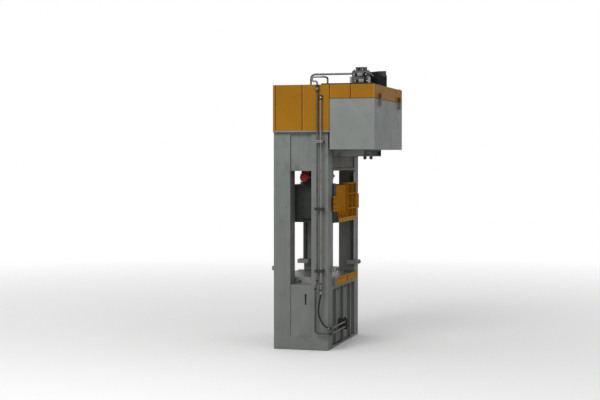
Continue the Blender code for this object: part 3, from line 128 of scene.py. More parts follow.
pale = bpy.data.materials.new("pale_floor")
pale.use_nodes = True
tree = pale.node_tree
shader = tree.nodes["Principled BSDF"]
FLOOR_GIVEN_BACK, FLOOR_SEEN = 0.42, 0.80
tone = remap(tree, seen_directly(tree), 0.0, 1.0, FLOOR_GIVEN_BACK, FLOOR_SEEN)
tree.links.new(tone, shader.inputs["Base Color"])
shader.inputs["Roughness"].default_value = 0.8
spot = shader_node(tree, "TexCoord").outputs["Object"]
reach = shader_node(tree, "VectorMath", {0: spot}, operation="LENGTH").outputs["Value"]
share = calculated(tree, "MULTIPLY", remap(tree, reach, 5.0, 26.0), seen_directly(tree))
glow = shader_node(tree, "Emission", {"Color": (1.0, 1.0, 1.0, 1.0), "Strength": 1.0})
blend = shader_node(tree, "MixShader", {0: share, 1: shader.outputs[0], 2: glow.outputs[0]})
tree.links.new(blend.outputs[0], tree.nodes["Material Output"].inputs["Surface"])
bm = bmesh.new()
bmesh.ops.create_grid(bm, x_segments=1, y_segments=1, size=90)
mesh = bpy.data.meshes.new("floor")
bm.to_mesh(mesh)
bm.free()
floor = bpy.data.objects.new("floor", mesh)
floor.data.materials.append(pale)
bpy.context.scene.collection.objects.link(floor)


# Side frames: each is one full-height box of flame-cut plate, welded up and then primed and sprayed with
# light grey-green enamel. Weld runs show where the set-back webs meet the uprights.
def new_group(name, inputs, outputs):
    """A shader node group with its sockets, and its input and output nodes."""
    tree = bpy.data.node_groups.new(name, "ShaderNodeTree")
    for socket, (kind, value) in inputs.items():
        made = tree.interface.new_socket(socket, in_out="INPUT", socket_type="NodeSocket" + kind)
        made.default_value = value
    for socket, kind in outputs.items():
        tree.interface.new_socket(socket, in_out="OUTPUT", socket_type="NodeSocket" + kind)
    return tree, tree.nodes.new("NodeGroupInput").outputs, tree.nodes.new("NodeGroupOutput").inputs


def noise(tree, place, scale, detail=4.0, stretch=(1.0, 1.0, 1.0)):
    stretched = shader_node(tree, "Mapping", {"Vector": place, "Scale": stretch}).outputs[0]
    settings = {"Vector": stretched, "Scale": scale, "Detail": detail}
    return shader_node(tree, "TexNoise", settings).outputs[0]


def mixed(tree, share, first, second):
    return shader_node(tree, "Mix", {0: share, 6: first, 7: second}, data_type="RGBA").outputs[2]


worn_enamel, given, result = new_group(
    "worn_enamel",
    {"Paint": ("Color", (0.4, 0.4, 0.4, 1.0)), "Streaks": ("Float", 0.3), "Grime": ("Float", 0.3),
     "Gloss": ("Float", 0.42)},
    {"Color": "Color", "Roughness": "Float", "Height": "Float"})
tree = worn_enamel
place = shader_node(tree, "TexCoord").outputs["Object"]
height = shader_node(tree, "SeparateXYZ", {0: place}).outputs["Z"]
facing = shader_node(tree, "SeparateXYZ", {0: shader_node(tree, "NewGeometry").outputs["Normal"]})
cloud = remap(tree, noise(tree, place, 1.3, 3.0), 0.3, 0.7, 0.90, 1.06)
coat = shader_node(tree, "VectorMath", {0: given["Paint"], "Scale": cloud}, operation="SCALE").outputs[0]
runs = noise(tree, place, 1.0, 5.0, (11.0, 11.0, 0.55))
runs = calculated(tree, "MULTIPLY", remap(tree, runs, 0.52, 0.78), given["Streaks"])
upright = remap(tree, calculated(tree, "ABSOLUTE", facing.outputs["Z"], 0.0), 0.3, 0.7, 1.0, 0.0)
runs = calculated(tree, "MULTIPLY", runs, upright)
coat = mixed(tree, runs, coat, (0.075, 0.064, 0.048, 1.0))
smudge = remap(tree, noise(tree, place, 3.1, 9.0), 0.54, 0.74)
smudge = calculated(tree, "MULTIPLY", smudge, given["Grime"])
foot = remap(tree, height, 0.0, 0.9, 0.42, 0.0)
foot = calculated(tree, "MULTIPLY", foot, remap(tree, noise(tree, place, 3.6, 7.0), 0.40, 0.66, 0.15))
mist = remap(tree, height, 0.0, 4.6, 0.20, 0.0)
dirt = calculated(tree, "MAXIMUM", smudge, calculated(tree, "MAXIMUM", foot, mist))
coat = mixed(tree, dirt, coat, (0.058, 0.048, 0.034, 1.0))
settled = remap(tree, facing.outputs["Z"], 0.75, 0.98, 0.0, 0.25)
coat = mixed(tree, settled, coat, (0.22, 0.21, 0.185, 1.0))
edge = shader_node(tree, "NewGeometry").outputs["Pointiness"]
chips = calculated(tree, "MULTIPLY", remap(tree, edge, 0.56, 0.64),
                   remap(tree, noise(tree, place, 24.0, 5.0), 0.52, 0.62))
coat = mixed(tree, calculated(tree, "MULTIPLY", chips, given["Grime"]), coat, (0.085, 0.08, 0.072, 1.0))
tree.links.new(coat, result["Color"])
rubbed = remap(tree, noise(tree, place, 7.0, 6.0), 0.3, 0.7, -0.07, 0.09)
sheen = calculated(tree, "ADD", given["Gloss"], rubbed)
sheen = calculated(tree, "ADD", sheen, calculated(tree, "MULTIPLY", dirt, 0.3))
tree.links.new(sheen, result["Roughness"])
peel = calculated(tree, "MULTIPLY", noise(tree, place, 190.0, 2.0), 0.25)
waves = noise(tree, place, 5.0, 2.0)
tree.links.new(calculated(tree, "ADD", peel, waves), result["Height"])


def surfaced(name, group, values, bump, **sockets):
    """A material on one node group, with its own values and the shader's plain settings."""
    made = bpy.data.materials.new(name)
    made.use_nodes = True
    tree = made.node_tree
    skin = tree.nodes.new("ShaderNodeGroup")
    skin.node_tree = group
    for socket, value in values.items():
        skin.inputs[socket].default_value = value
    shader = tree.nodes["Principled BSDF"]
    raised = shader_node(tree, "Bump", {"Height": skin.outputs["Height"], "Distance": bump, "Strength": 0.6})
    tree.links.new(skin.outputs["Color"], shader.inputs["Base Color"])
    tree.links.new(skin.outputs["Roughness"], shader.inputs["Roughness"])
    tree.links.new(raised.outputs["Normal"], shader.inputs["Normal"])
    for socket, value in sockets.items():
        shader.inputs[socket.replace("_", " ")].default_value = value
    return made


def enamel(name, colour, streaks=0.3, grime=0.3, gloss=0.42, shine=0.02):
    values = {"Paint": (*colour, 1.0), "Streaks": streaks, "Grime": grime, "Gloss": gloss}
    return surfaced(name, worn_enamel, values, 0.0006, Specular_IOR_Level=shine)


def finished(name, bm, finish, body="frame", smooth=35):
    """Makes a piece from a bmesh, with its finish and the body it rides on."""
    bmesh.ops.recalc_face_normals(bm, faces=bm.faces)
    mesh = bpy.data.meshes.new(name)
    bm.to_mesh(mesh)
    bm.free()
    mesh.materials.append(finish)
    mesh.shade_smooth()
    mesh.set_sharp_from_angle(angle=math.radians(smooth))
    piece = bpy.data.objects.new(name, mesh)
    bpy.context.scene.collection.objects.link(piece)
    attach(piece, body)
    return piece


def eased(node, radius, finish, steps=2):
    """Stands for a node with the same shape, its sharp edges ground round."""
    solid = frame["nodes"][node]
    bm = bmesh.new()
    bm.from_mesh(solid.data)
    bmesh.ops.remove_doubles(bm, verts=bm.verts, dist=0.00002)
    bmesh.ops.dissolve_limit(bm, angle_limit=math.radians(0.4), verts=bm.verts, edges=bm.edges)
    mesh = bpy.data.meshes.new(node + "_dressed")
    bm.to_mesh(mesh)
    bm.free()
    mesh.materials.append(finish)
    mesh.shade_smooth()
    mesh.set_sharp_from_angle(angle=math.radians(35))
    piece = bpy.data.objects.new(node + "_dressed", mesh)
    bpy.context.scene.collection.objects.link(piece)
    rounding = piece.modifiers.new("ground_edges", "BEVEL")
    rounding.width = radius
    rounding.segments = steps
    rounding.limit_method = "ANGLE"
    rounding.angle_limit = math.radians(38)
    rounding.harden_normals = True
    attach(piece, solid["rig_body"])
    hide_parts(node)
    return piece


def round_bar(bm, start, end, radius, sides):
    way = Vector(end) - Vector(start)
    middle = Matrix.Translation((Vector(start) + Vector(end)) / 2)
    bmesh.ops.create_cone(bm, cap_ends=True, segments=sides, radius1=radius, radius2=radius, depth=way.length,
                          matrix=middle @ way.to_track_quat("Z", "Y").to_matrix().to_4x4())


def bars(name, runs, radius, finish, body="frame", sides=8):
    """Straight round bars, each from one point to another, in one piece."""
    bm = bmesh.new()
    for start, end in runs:
        round_bar(bm, start, end, radius, sides)
    return finished(name, bm, finish, body)


frame_grey = enamel("frame_grey", (0.205, 0.22, 0.208), streaks=0.16, grime=0.35)
weld_grey = enamel("weld_grey", (0.165, 0.175, 0.165), streaks=0.4, grime=0.7, gloss=0.5)
FRAME_WELD, WEB_HALF = 0.007, 0.25
CROWN_WEB_FACE, CROWN_WEB_LOW, CROWN_WEB_HIGH = 1.46, 4.11, 4.93
BED_WEB_FACE, BED_WEB_LOW, BED_WEB_HIGH = 1.48, 0.30, 1.48
for side, word in ((-1, "left"), (1, "right")):
    eased("side_frame_" + word, 0.006, frame_grey)
    crown, bed = side * CROWN_WEB_FACE, side * BED_WEB_FACE
    seams = []
    for y in (-WEB_HALF, WEB_HALF):
        seams.append(((crown, y, CROWN_WEB_LOW), (crown, y, CROWN_WEB_HIGH)))
        seams.append(((bed, y, BED_WEB_LOW), (bed, y, BED_WEB_HIGH)))
    for face, z in ((bed, BED_WEB_LOW), (crown, CROWN_WEB_HIGH)):
        seams.append(((face, -WEB_HALF, z), (face, WEB_HALF, z)))
    bars("web_welds_" + word, seams, FRAME_WELD, weld_grey)


# Bed: a box of thick plate with three upright ribs on each face, a sole plate and a machined top. Fillet
# welds run up both sides of each rib, and hex plugs close the oil ways near the top.
def fasteners(name, places, direction, across, height, finish, body="frame", socket=False):
    """Bolts on washers at the places given, all facing one way, with hex or socket heads."""
    bm = bmesh.new()
    turn = Vector(direction).to_track_quat("Z", "Y").to_matrix().to_4x4()
    for place in places:
        at = Matrix.Translation(place) @ turn
        washer = at @ Matrix.Translation((0, 0, height * 0.1))
        bmesh.ops.create_cone(bm, cap_ends=True, segments=14, radius1=across * 0.72, radius2=across * 0.72,
                              depth=height * 0.2, matrix=washer)
        head = bmesh.ops.create_cone(bm, cap_ends=True, segments=12 if socket else 6, radius1=across / 2,
                                     radius2=across * 0.46, depth=height * 0.8,
                                     matrix=at @ Matrix.Translation((0, 0, height * 0.6)))
        if socket:
            top = at @ Vector((0, 0, height))
            faces = {face for vert in head["verts"] for face in vert.link_faces}
            cap = min(faces, key=lambda face: (face.calc_center_median() - top).length)
            bmesh.ops.inset_individual(bm, faces=[cap], thickness=across * 0.2)
            bmesh.ops.translate(bm, verts=cap.verts, vec=at.to_3x3() @ Vector((0, 0, -height * 0.45)))
    return finished(name, bm, finish, body, smooth=25)


worked_metal, given, result = new_group(
    "worked_metal",
    {"Metal": ("Color", (0.5, 0.5, 0.5, 1.0)), "Lay": ("Vector", (1.0, 1.0, 1.0)),
     "Smooth": ("Float", 0.25), "Rough": ("Float", 0.45), "Stain": ("Float", 0.3)},
    {"Color": "Color", "Roughness": "Float", "Height": "Float"})
tree = worked_metal
place = shader_node(tree, "TexCoord").outputs["Object"]
laid = shader_node(tree, "VectorMath", {0: place, 1: given["Lay"]}, operation="MULTIPLY").outputs[0]
lines = noise(tree, laid, 1.0, 5.0)
film = remap(tree, noise(tree, place, 5.5, 7.0), 0.48, 0.70)
# Every metal is darkened towards its foot, below 1.5 m and most at 1.2 m and lower.
low_down = remap(tree, shader_node(tree, "SeparateXYZ", {0: place}).outputs["Z"], 1.2, 1.5, 0.55, 0.0)
film = calculated(tree, "MAXIMUM", calculated(tree, "MULTIPLY", film, given["Stain"]), low_down)
tone = remap(tree, lines, 0.25, 0.75, 0.86, 1.10)
metal = shader_node(tree, "VectorMath", {0: given["Metal"], "Scale": tone}, operation="SCALE").outputs[0]
tree.links.new(mixed(tree, film, metal, (0.045, 0.039, 0.03, 1.0)), result["Color"])
span = calculated(tree, "SUBTRACT", given["Rough"], given["Smooth"])
dull = calculated(tree, "MULTIPLY", remap(tree, lines, 0.3, 0.7), span)
dull = calculated(tree, "ADD", dull, given["Smooth"])
dull = calculated(tree, "ADD", dull, calculated(tree, "MULTIPLY", film, 0.25))
tree.links.new(dull, result["Roughness"])
tree.links.new(lines, result["Height"])


def metal_finish(name, colour, lay, smooth, rough, stain, bump=0.0001, metallic=1.0):
    values = {"Metal": (*colour, 1.0), "Lay": lay, "Smooth": smooth, "Rough": rough, "Stain": stain}
    return surfaced(name, worked_metal, values, bump, Metallic=metallic)


black_bolts = metal_finish("black_bolts", (0.05, 0.05, 0.052), (90, 90, 90), 0.35, 0.55, 0.2, metallic=0.7)
low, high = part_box("bed_beam")
BED_FACE, RIB_FOOT, RIB_HEAD = 0.575, 0.06, 1.36
eased("bed_beam", 0.004, frame_grey)
seams = []
for end in (-1, 1):
    face = end * BED_FACE
    for x in (-0.7, 0.0, 0.7):
        for beside in (-0.027, 0.027):
            seams.append(((x + beside, face, RIB_FOOT), (x + beside, face, RIB_HEAD)))
    for z in (RIB_FOOT + 0.002, RIB_HEAD - 0.002):
        seams.append(((low.x, face, z), (high.x, face, z)))
    for x in (low.x + 0.002, high.x - 0.002):
        seams.append(((x, face, RIB_FOOT), (x, face, RIB_HEAD)))
bars("bed_welds", seams, FRAME_WELD, weld_grey)
fasteners("bed_plugs", [(x, -BED_FACE - 0.0195, 1.31) for x in (-0.35, 0.35)], (0, -1, 0), 0.034, 0.022,
          frame_grey, socket=True)


# Crown: the head beam, with flanges top and bottom and a smooth face between them. It is welded to the
# side frames down all four corners.
low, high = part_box("crown_beam")
CROWN_FACE = 0.615
# The crown's paint is darker and browner than the frame's: painted shade for the shadow under the tank, with
# some dirt.
crown_shaded_grey = enamel("crown_shaded_grey", (0.13, 0.122, 0.105), streaks=0.2, grime=0.5)
eased("crown_beam", 0.005, crown_shaded_grey)
seams = []
for end in (-1, 1):
    face = end * CROWN_FACE
    for x in (low.x + 0.002, high.x - 0.002):
        seams.append(((x, face, low.z + 0.06), (x, face, high.z - 0.06)))
    for z in (low.z + 0.062, high.z - 0.062):
        seams.append(((low.x, face, z), (high.x, face, z)))
bars("crown_welds", seams, FRAME_WELD, weld_grey)


# Bolster: a slab of cast and planed steel, left bare and kept oiled, with T-slots for the die bolts. Its two
# ends are sprayed pale grey. It lies on the bed and is held by four screws a side.
two_tone, given, result = new_group(
    "two_tone",
    {"Body": ("Color", (0.5, 0.5, 0.5, 1.0)), "Band": ("Color", (0.6, 0.6, 0.6, 1.0)),
     "Band_Top": ("Float", 0.0), "End": ("Color", (0.1, 0.1, 0.1, 1.0)), "End_Place": ("Float", 100.0)},
    {"Color": "Color", "On_End": "Float"})
tree = two_tone
place = shader_node(tree, "SeparateXYZ", {0: shader_node(tree, "TexCoord").outputs["Object"]}).outputs
below = calculated(tree, "SUBTRACT", given["Band_Top"], place["Z"])
shade = mixed(tree, remap(tree, below, -0.002, 0.002), given["Body"], given["Band"])
facing = shader_node(tree, "SeparateXYZ", {0: shader_node(tree, "NewGeometry").outputs["Normal"]}).outputs
sideways = remap(tree, calculated(tree, "ABSOLUTE", facing["X"], 0.0), 0.7, 0.9)
from_end = calculated(tree, "SUBTRACT", calculated(tree, "ABSOLUTE", place["X"], 0.0), given["End_Place"])
near = remap(tree, calculated(tree, "ABSOLUTE", from_end, 0.0), 0.004, 0.006, 1.0, 0.0)
on_end = calculated(tree, "MULTIPLY", sideways, near)
tree.links.new(mixed(tree, on_end, shade, given["End"]), result["Color"])
tree.links.new(on_end, result["On_End"])


def painted(finish, group, **values):
    """Lets a node group choose a finish's colour. Its body shade is the finish's own if none is given."""
    tree = finish.node_tree
    skin = next(node for node in tree.nodes if node.type == "GROUP")
    chooser = tree.nodes.new("ShaderNodeGroup")
    chooser.node_tree = group
    chooser.inputs["Body"].default_value = skin.inputs[0].default_value
    for socket, value in values.items():
        chooser.inputs[socket].default_value = value if isinstance(value, float) else (*value, 1.0)
    tree.links.new(chooser.outputs["Color"], skin.inputs[0])
    return chooser


planed_steel = metal_finish("planed_steel", (0.185, 0.175, 0.155), (160, 3, 40), 0.30, 0.54, 0.75, 0.00015)
low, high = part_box("bolster_plate")
ends = painted(planed_steel, two_tone, End=(0.31, 0.32, 0.305), End_Place=high.x)
tree = planed_steel.node_tree
bare = calculated(tree, "SUBTRACT", 1.0, ends.outputs["On_End"])
tree.links.new(bare, tree.nodes["Principled BSDF"].inputs["Metallic"])
eased("bolster_plate", 0.003, planed_steel)
side_screws = [(x, y, 1.53) for x in (low.x, high.x) for y in (-0.45, -0.15, 0.15, 0.45)]
fasteners("bolster_screws_left", side_screws[:4], (-1, 0, 0), 0.036, 0.018, black_bolts,
          socket=True)
fasteners("bolster_screws_right", side_screws[4:], (1, 0, 0), 0.036, 0.018, black_bolts,
          socket=True)


# Front strips: two thin plates, sprayed orange-yellow to mark the table's edge, notched round each slot
# and held by countersunk screws.
strip_yellow = enamel("strip_yellow", (0.50, 0.24, 0.02), streaks=0.3, grime=0.5, shine=0.0)
for word in ("left", "right"):
    low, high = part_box("bolster_strip_" + word)
    eased("bolster_strip_" + word, 0.002, strip_yellow)
    places = [(low.x + (high.x - low.x) * share, low.y - 0.0005, z) for share in (0.06, 0.36, 0.66, 0.94)
              for z in (1.485, 1.585)]
    fasteners("strip_screws_" + word, places, (0, -1, 0), 0.018, 0.006, black_bolts,
              socket=True)


# Rail feet and guide rails: grey angle blocks bolted round the uprights' corners, and on each a hard black
# steel rail, ground on its faces and screwed to the upright from inside.
foot_grey = enamel("foot_grey", (0.27, 0.28, 0.265), streaks=0.1, grime=0.4)
rail_black = metal_finish("rail_black", (0.035, 0.035, 0.037), (60, 60, 3), 0.22, 0.42, 0.35, metallic=0.8)
for end, where in ((-1, "front"), (1, "rear")):
    for side, word in ((-1, "left"), (1, "right")):
        name = where + "_" + word
        low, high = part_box("rail_foot_" + name)
        eased("rail_foot_" + name, 0.005, foot_grey)
        face = low.y if end < 0 else high.y
        middle = (low.z + high.z) / 2
        head = 0.024 if end < 0 else 0.0004
        fasteners("foot_bolts_" + name, [(side * x, face, middle) for x in (1.02, 1.19)], (0, end, 0),
                  0.036, head, black_bolts)
        low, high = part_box("guide_rail_" + name)
        eased("guide_rail_" + name, 0.003, rail_black)
        face = low.y if end < 0 else high.y
        places = [((low.x + high.x) / 2, face, z) for z in (low.z + 0.1 + i * 0.28 for i in range(7))]
        fasteners("rail_screws_" + name, places, (0, end, 0), 0.026, 0.0004, black_bolts)


# Main cylinder: a forged and turned steel body hung in the crown, painted dark grey, with its gland ring
# of bare steel bolted under it and the large suction valve bolted on its head.
dark_enamel = enamel("dark_enamel", (0.052, 0.057, 0.058), streaks=0.15, grime=0.35)
turned_steel = metal_finish("turned_steel", (0.33, 0.33, 0.32), (6, 6, 220), 0.22, 0.42, 0.5)
eased("main_cylinder", 0.006, dark_enamel)
eased("gland_ring", 0.004, turned_steel)
eased("prefill_valve", 0.006, dark_enamel)


def ring_places(centre, radius, count, turn=0.0, upright=False):
    """Places evenly round a circle that lies level, or stands upright and faces the front."""
    x, y, z = centre
    angles = [turn + 2 * math.pi * i / count for i in range(count)]
    arms = [(radius * math.cos(angle), radius * math.sin(angle)) for angle in angles]
    return [(x + along, y, z + aside) if upright else (x + along, y + aside, z) for along, aside in arms]


low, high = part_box("gland_ring")
fasteners("gland_bolts", ring_places((0, 0, low.z), 0.29, 16), (0, 0, -1), 0.04, 0.026, black_bolts)
low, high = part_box("main_cylinder")
fasteners("flange_bolts", ring_places((0, 0, low.z), 0.36, 16, 0.2), (0, 0, -1), 0.036, 0.0005, black_bolts)
low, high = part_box("prefill_valve")
fasteners("prefill_bolts", ring_places((0, 0, low.z + 0.05), 0.19, 8), (0, 0, 1), 0.036, 0.024, black_bolts)
fasteners("prefill_cap_bolts", ring_places((0, 0, high.z), 0.115, 6), (0, 0, 1), 0.026, 0.016, black_bolts)


# Slide: a deep welded box, sprayed orange-yellow on its faces and dark grey on its machined ends. Half of
# each face is a plain panel with gussets, the other half is open cells. Its foot flange is painted paler, a
# painted highlight for the light its jutting front catches.
SLIDE_HALF, SLIDE_FLANGE = 0.895, 0.10
slide_yellow = enamel("slide_yellow", (0.46, 0.195, 0.012), streaks=0.12, grime=0.30, gloss=0.46, shine=0.0)
low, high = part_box("slide_frame")
# The paler band on the foot flange is a painted highlight.
painted(slide_yellow, two_tone, Band=(0.50, 0.28, 0.055), Band_Top=low.z + SLIDE_FLANGE,
        End=(0.075, 0.08, 0.078), End_Place=SLIDE_HALF)
eased("slide_frame", 0.004, slide_yellow)
weld_yellow = enamel("weld_yellow", (0.34, 0.14, 0.012), streaks=0.3, grime=0.7, gloss=0.5, shine=0.0)
PANEL_FACE, CELL_FLOOR, FINE_WELD = 0.68, 0.62, 0.006
foot, gusset_top = low.z + SLIDE_FLANGE, low.z + 0.40
seams = []
for end in (-1, 1):
    face, cell = end * PANEL_FACE, end * CELL_FLOOR
    for i in range(4):
        x = -end * (-SLIDE_HALF + 0.015 + (SLIDE_HALF + 0.05) * i / 4)
        for beside in (-0.017, 0.017):
            seams.append(((x + beside, face, foot), (x + beside, face, gusset_top)))
    for z in (low.z + 0.278, low.z + 0.312, low.z + 0.628, low.z + 0.662):
        seams.append(((-end * 0.06, cell, z), (-end * (SLIDE_HALF - 0.03), cell, z)))
    reach, z = SLIDE_HALF - 0.002, low.z + 0.102
    seams.append(((-reach, face, z), (reach, face, z)))
bars("slide_welds", seams, FINE_WELD, weld_yellow, "slide")
BRACKET_FACE, BRACKET_SIDE = 0.735, 1.2
for end, where in ((-1, "front"), (1, "rear")):
    for side, word in ((-1, "left"), (1, "right")):
        name = where + "_" + word
        places = [(side * x, end * BRACKET_FACE, z) for x in (0.95, 1.14) for z in (3.22, 3.345, 3.47)]
        fasteners("bracket_bolts_" + name, places, (0, end, 0), 0.038, 0.009, weld_yellow,
                  "slide")
        push = [(side * BRACKET_SIDE, end * 0.708, z) for z in (3.24, 3.345, 3.45)]
        fasteners("bracket_screws_" + name, push, (side, 0, 0), 0.026, 0.03, weld_yellow,
                  "slide", socket=True)
fasteners("slide_top_bolts", ring_places((0, 0, 3.622), 0.245, 12, 0.1), (0, 0, 1), 0.038, 0.024, black_bolts,
          "slide")


# Slide shoes: angle-shaped cast blocks, sprayed dark grey, screwed to the slide's ends, each with a bronze
# grease nipple. The screws behind a bracket can't be reached, so none is set there.
bronze = metal_finish("bronze", (0.36, 0.23, 0.09), (120, 120, 4), 0.2, 0.38, 0.4)
shoe_grey = enamel("shoe_grey", (0.06, 0.06, 0.056), streaks=0.1, grime=0.5)
BRACKET_LOW, BRACKET_HIGH = 3.13, 3.56
for end, where in ((-1, "front"), (1, "rear")):
    for side, word in ((-1, "left"), (1, "right")):
        name = where + "_" + word
        low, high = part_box("slide_shoe_" + name)
        eased("slide_shoe_" + name, 0.003, shoe_grey)
        face = low.y if end < 0 else high.y
        heights = [low.z + 0.07 + i * 0.125 for i in range(7)]
        heights = [z for z in heights if not BRACKET_LOW < z < BRACKET_HIGH]
        fasteners("shoe_screws_" + name, [(side * 0.94, face, z) for z in heights], (0, end, 0), 0.03, 0.014,
                  black_bolts, "slide", socket=True)
        nipple = (side * 1.02, face, high.z - 0.06)
        fasteners("grease_nipple_" + name, [nipple], (0, end, 0), 0.016, 0.02, bronze,
                  "slide")


# Piston rod: forged steel, ground and hard-chromed to a mirror. It comes down out of the main cylinder, and
# the ring of bolts on the slide's top holds its foot.
hard_chrome = metal_finish("hard_chrome", (0.72, 0.73, 0.74), (2, 2, 300), 0.06, 0.16, 0.12, 0.00002)
eased("piston_rod", 0.003, hard_chrome)


# Slide lock: a red cylinder behind the top of each side window pushes a chromed pin into the plate on the
# slide's side. Four tie rods, sprayed with it, clamp the cylinder's end cap.
lock_red = enamel("lock_red", (0.33, 0.028, 0.032), streaks=0.1, grime=0.25, gloss=0.36)
lock_rod_red = enamel("lock_rod_red", (0.12, 0.016, 0.018), streaks=0.1, grime=0.5, gloss=0.5)
zinc = metal_finish("zinc", (0.34, 0.33, 0.30), (40, 40, 40), 0.30, 0.48, 0.3)
LOCK_HEIGHT, TIE_OFF = 3.95, 0.0775
for side, word in ((-1, "left"), (1, "right")):
    low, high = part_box("lock_cylinder_" + word)
    eased("lock_cylinder_" + word, 0.006, lock_red)
    eased("lock_pin_" + word, 0.004, hard_chrome)
    eased("lock_plate_" + word, 0.004, dark_enamel)
    back, front = (low.x, high.x) if side < 0 else (high.x, low.x)
    corners = [(back, dy, LOCK_HEIGHT + dz) for dy in (-0.058, 0.058) for dz in (-0.058, 0.058)]
    fasteners("lock_tie_nuts_" + word, corners, (side, 0, 0), 0.026, 0.014, lock_rod_red)
    fasteners("lock_port_" + word, [(back - side * 0.05, -0.099, LOCK_HEIGHT)], (0, -1, 0), 0.036, 0.03,
              black_bolts)
    rods = [((front + side * 0.04, y, LOCK_HEIGHT + z), (back - side * 0.002, y, LOCK_HEIGHT + z))
            for y in (-TIE_OFF, TIE_OFF) for z in (-TIE_OFF, TIE_OFF)]
    bars("lock_tie_rods_" + word, rods, 0.0085, lock_rod_red, sides=10)
    low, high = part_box("lock_plate_" + word)
    outer = low.x if side < 0 else high.x
    places = [(outer, y, low.z + up) for y in (-0.085, 0.085) for up in (0.06, 0.26, 0.46, 0.66)]
    fasteners("lock_plate_bolts_" + word, places, (side, 0, 0), 0.032, 0.016, black_bolts,
              "slide", socket=True)


# Cushion: a cylinder of cast iron, left rough and let into the bed, with a hard-chromed rod that rises
# through the table.
raw_casting = metal_finish("raw_casting", (0.13, 0.13, 0.13), (30, 30, 30), 0.5, 0.7, 0.5, 0.0005,
                           metallic=0.5)
eased("cushion_cylinder", 0.003, raw_casting)
eased("cushion_rod", 0.003, hard_chrome)


# Oil tank: folded and welded sheet, sprayed a lighter grey than the frame, with a lifting lug of thick
# plate near each end of its front. The lugs' heads, in front of the yellow sheet, are sprayed like it.
TANK_PAINT = (0.235, 0.25, 0.24)
tank_grey = enamel("tank_grey", TANK_PAINT, streaks=0.06, grime=0.12, gloss=0.38)
weld_light = enamel("weld_light", (0.19, 0.20, 0.195), streaks=0.2, grime=0.5, gloss=0.48)
TANK_FRONT, TANK_TOP = -1.734, 5.735
LUG_X, LUG_FOOT = 1.1, 5.575
painted(tank_grey, two_tone, Body=(0.20, 0.125, 0.06), Band=TANK_PAINT, Band_Top=TANK_TOP + 0.003)
eased("oil_tank", 0.008, tank_grey)
seams = [((x + beside, TANK_FRONT, LUG_FOOT), (x + beside, TANK_FRONT, top))
         for x, top in ((-LUG_X, 5.865), (LUG_X, 5.73)) for beside in (-0.027, 0.027)]
bars("lug_welds", seams, FINE_WELD, weld_light)
lug_eye_shade_brown = enamel("lug_eye_shade_brown", (0.09, 0.05, 0.02), streaks=0.3, grime=0.5, gloss=0.5)


def hoop(bm, centre, radius, wire, axis, steps=24):
    """A ring of round wire about a centre."""
    centre, axis = Vector(centre), Vector(axis)
    aside = axis.orthogonal().normalized()
    turn = Matrix((aside, axis, aside.cross(axis))).transposed().to_4x4()
    start = bmesh.ops.create_circle(bm, segments=6, radius=wire,
                                    matrix=Matrix.Translation(centre + aside * radius) @ turn)
    edges = list(dict.fromkeys(edge for vert in start["verts"] for edge in vert.link_edges))
    bmesh.ops.spin(bm, geom=start["verts"] + edges, cent=centre, axis=axis, angle=2 * math.pi, steps=steps,
                   use_merge=True)


# Dark brown rings round each lug's eye are painted shade for the shadow inside the hole.
bm = bmesh.new()
for x in (-LUG_X, LUG_X):
    for side in (-1, 1):
        hoop(bm, (x + side * 0.026, TANK_FRONT - 0.034, 5.80), 0.022, 0.006, (1, 0, 0))
finished("lug_eye_shade_rims", bm, lug_eye_shade_brown)


# Tank bracket: a welded box on the crown's front that carries the tank. Its body colour is darkened as
# painted shade for the shadow under the tank, its side ends are lightened as painted light, and a dark sheet
# set in its open front end is painted shade. Two drain cocks with short levers hang under it.
def cuboid(bm, middle, size):
    bmesh.ops.create_cube(bm, size=1, matrix=Matrix.Translation(middle) @ Matrix.Diagonal((*size, 1)))


BRACKET_HALF = 0.96
# The dark body colour is painted shade, and the light grey on the side ends is painted light.
bracket_shade_and_light = enamel("bracket_shade_and_light", (0.09, 0.085, 0.075), streaks=0.2, grime=0.5)
painted(bracket_shade_and_light, two_tone, End=(0.32, 0.33, 0.31), End_Place=BRACKET_HALF)
eased("tank_bracket", 0.004, bracket_shade_and_light)
bm = bmesh.new()
for x in (-0.33, 0.33):
    at = Matrix.Translation((x, -1.235, 0))
    lever = Matrix.Translation((0.05, 0, 4.385)) @ Matrix.Diagonal((0.09, 0.016, 0.008, 1))
    bmesh.ops.create_cube(bm, size=1, matrix=at @ lever)
    bmesh.ops.create_cone(bm, cap_ends=True, segments=6, radius1=0.042, radius2=0.042, depth=0.02,
                          matrix=at @ Matrix.Translation((0, 0, 4.412)))
finished("drain_levers", bm, black_bolts)
# A dark sheet in the bracket's open front end: painted shade.
bm = bmesh.new()
cuboid(bm, (0, -1.2875, 4.51), (1.858, 0.004, 0.098))
finished("bracket_shade_panel", bm, dark_enamel)


# Deck: a steel floor plate laid over the crown and sprayed light grey, rim and all. The pump sets and the
# shroud stand on it.
deck_grey = enamel("deck_grey", (0.225, 0.22, 0.19), streaks=0.06, grime=0.2, gloss=0.4)
eased("deck_plate", 0.004, deck_grey)


# Shroud: folded sheet panels round the pump deck, sprayed orange-yellow. Their joints show as dark lines with
# a painted highlight beside each, and the sheet corners carry painted highlights too; the corner posts are
# paler. A black strip on the front half's top edge is painted shade, and a painted shadow line runs along the
# sheet's foot above the tank.
def lined(tree, value, middle, half):
    """1 within a line's width and 0 beside it."""
    off = calculated(tree, "ABSOLUTE", calculated(tree, "SUBTRACT", value, middle), 0.0)
    return remap(tree, off, half, half + 0.003, 1.0, 0.0)


def most(tree, shares):
    whole = shares[0]
    for share in shares[1:]:
        whole = calculated(tree, "MAXIMUM", whole, share)
    return whole


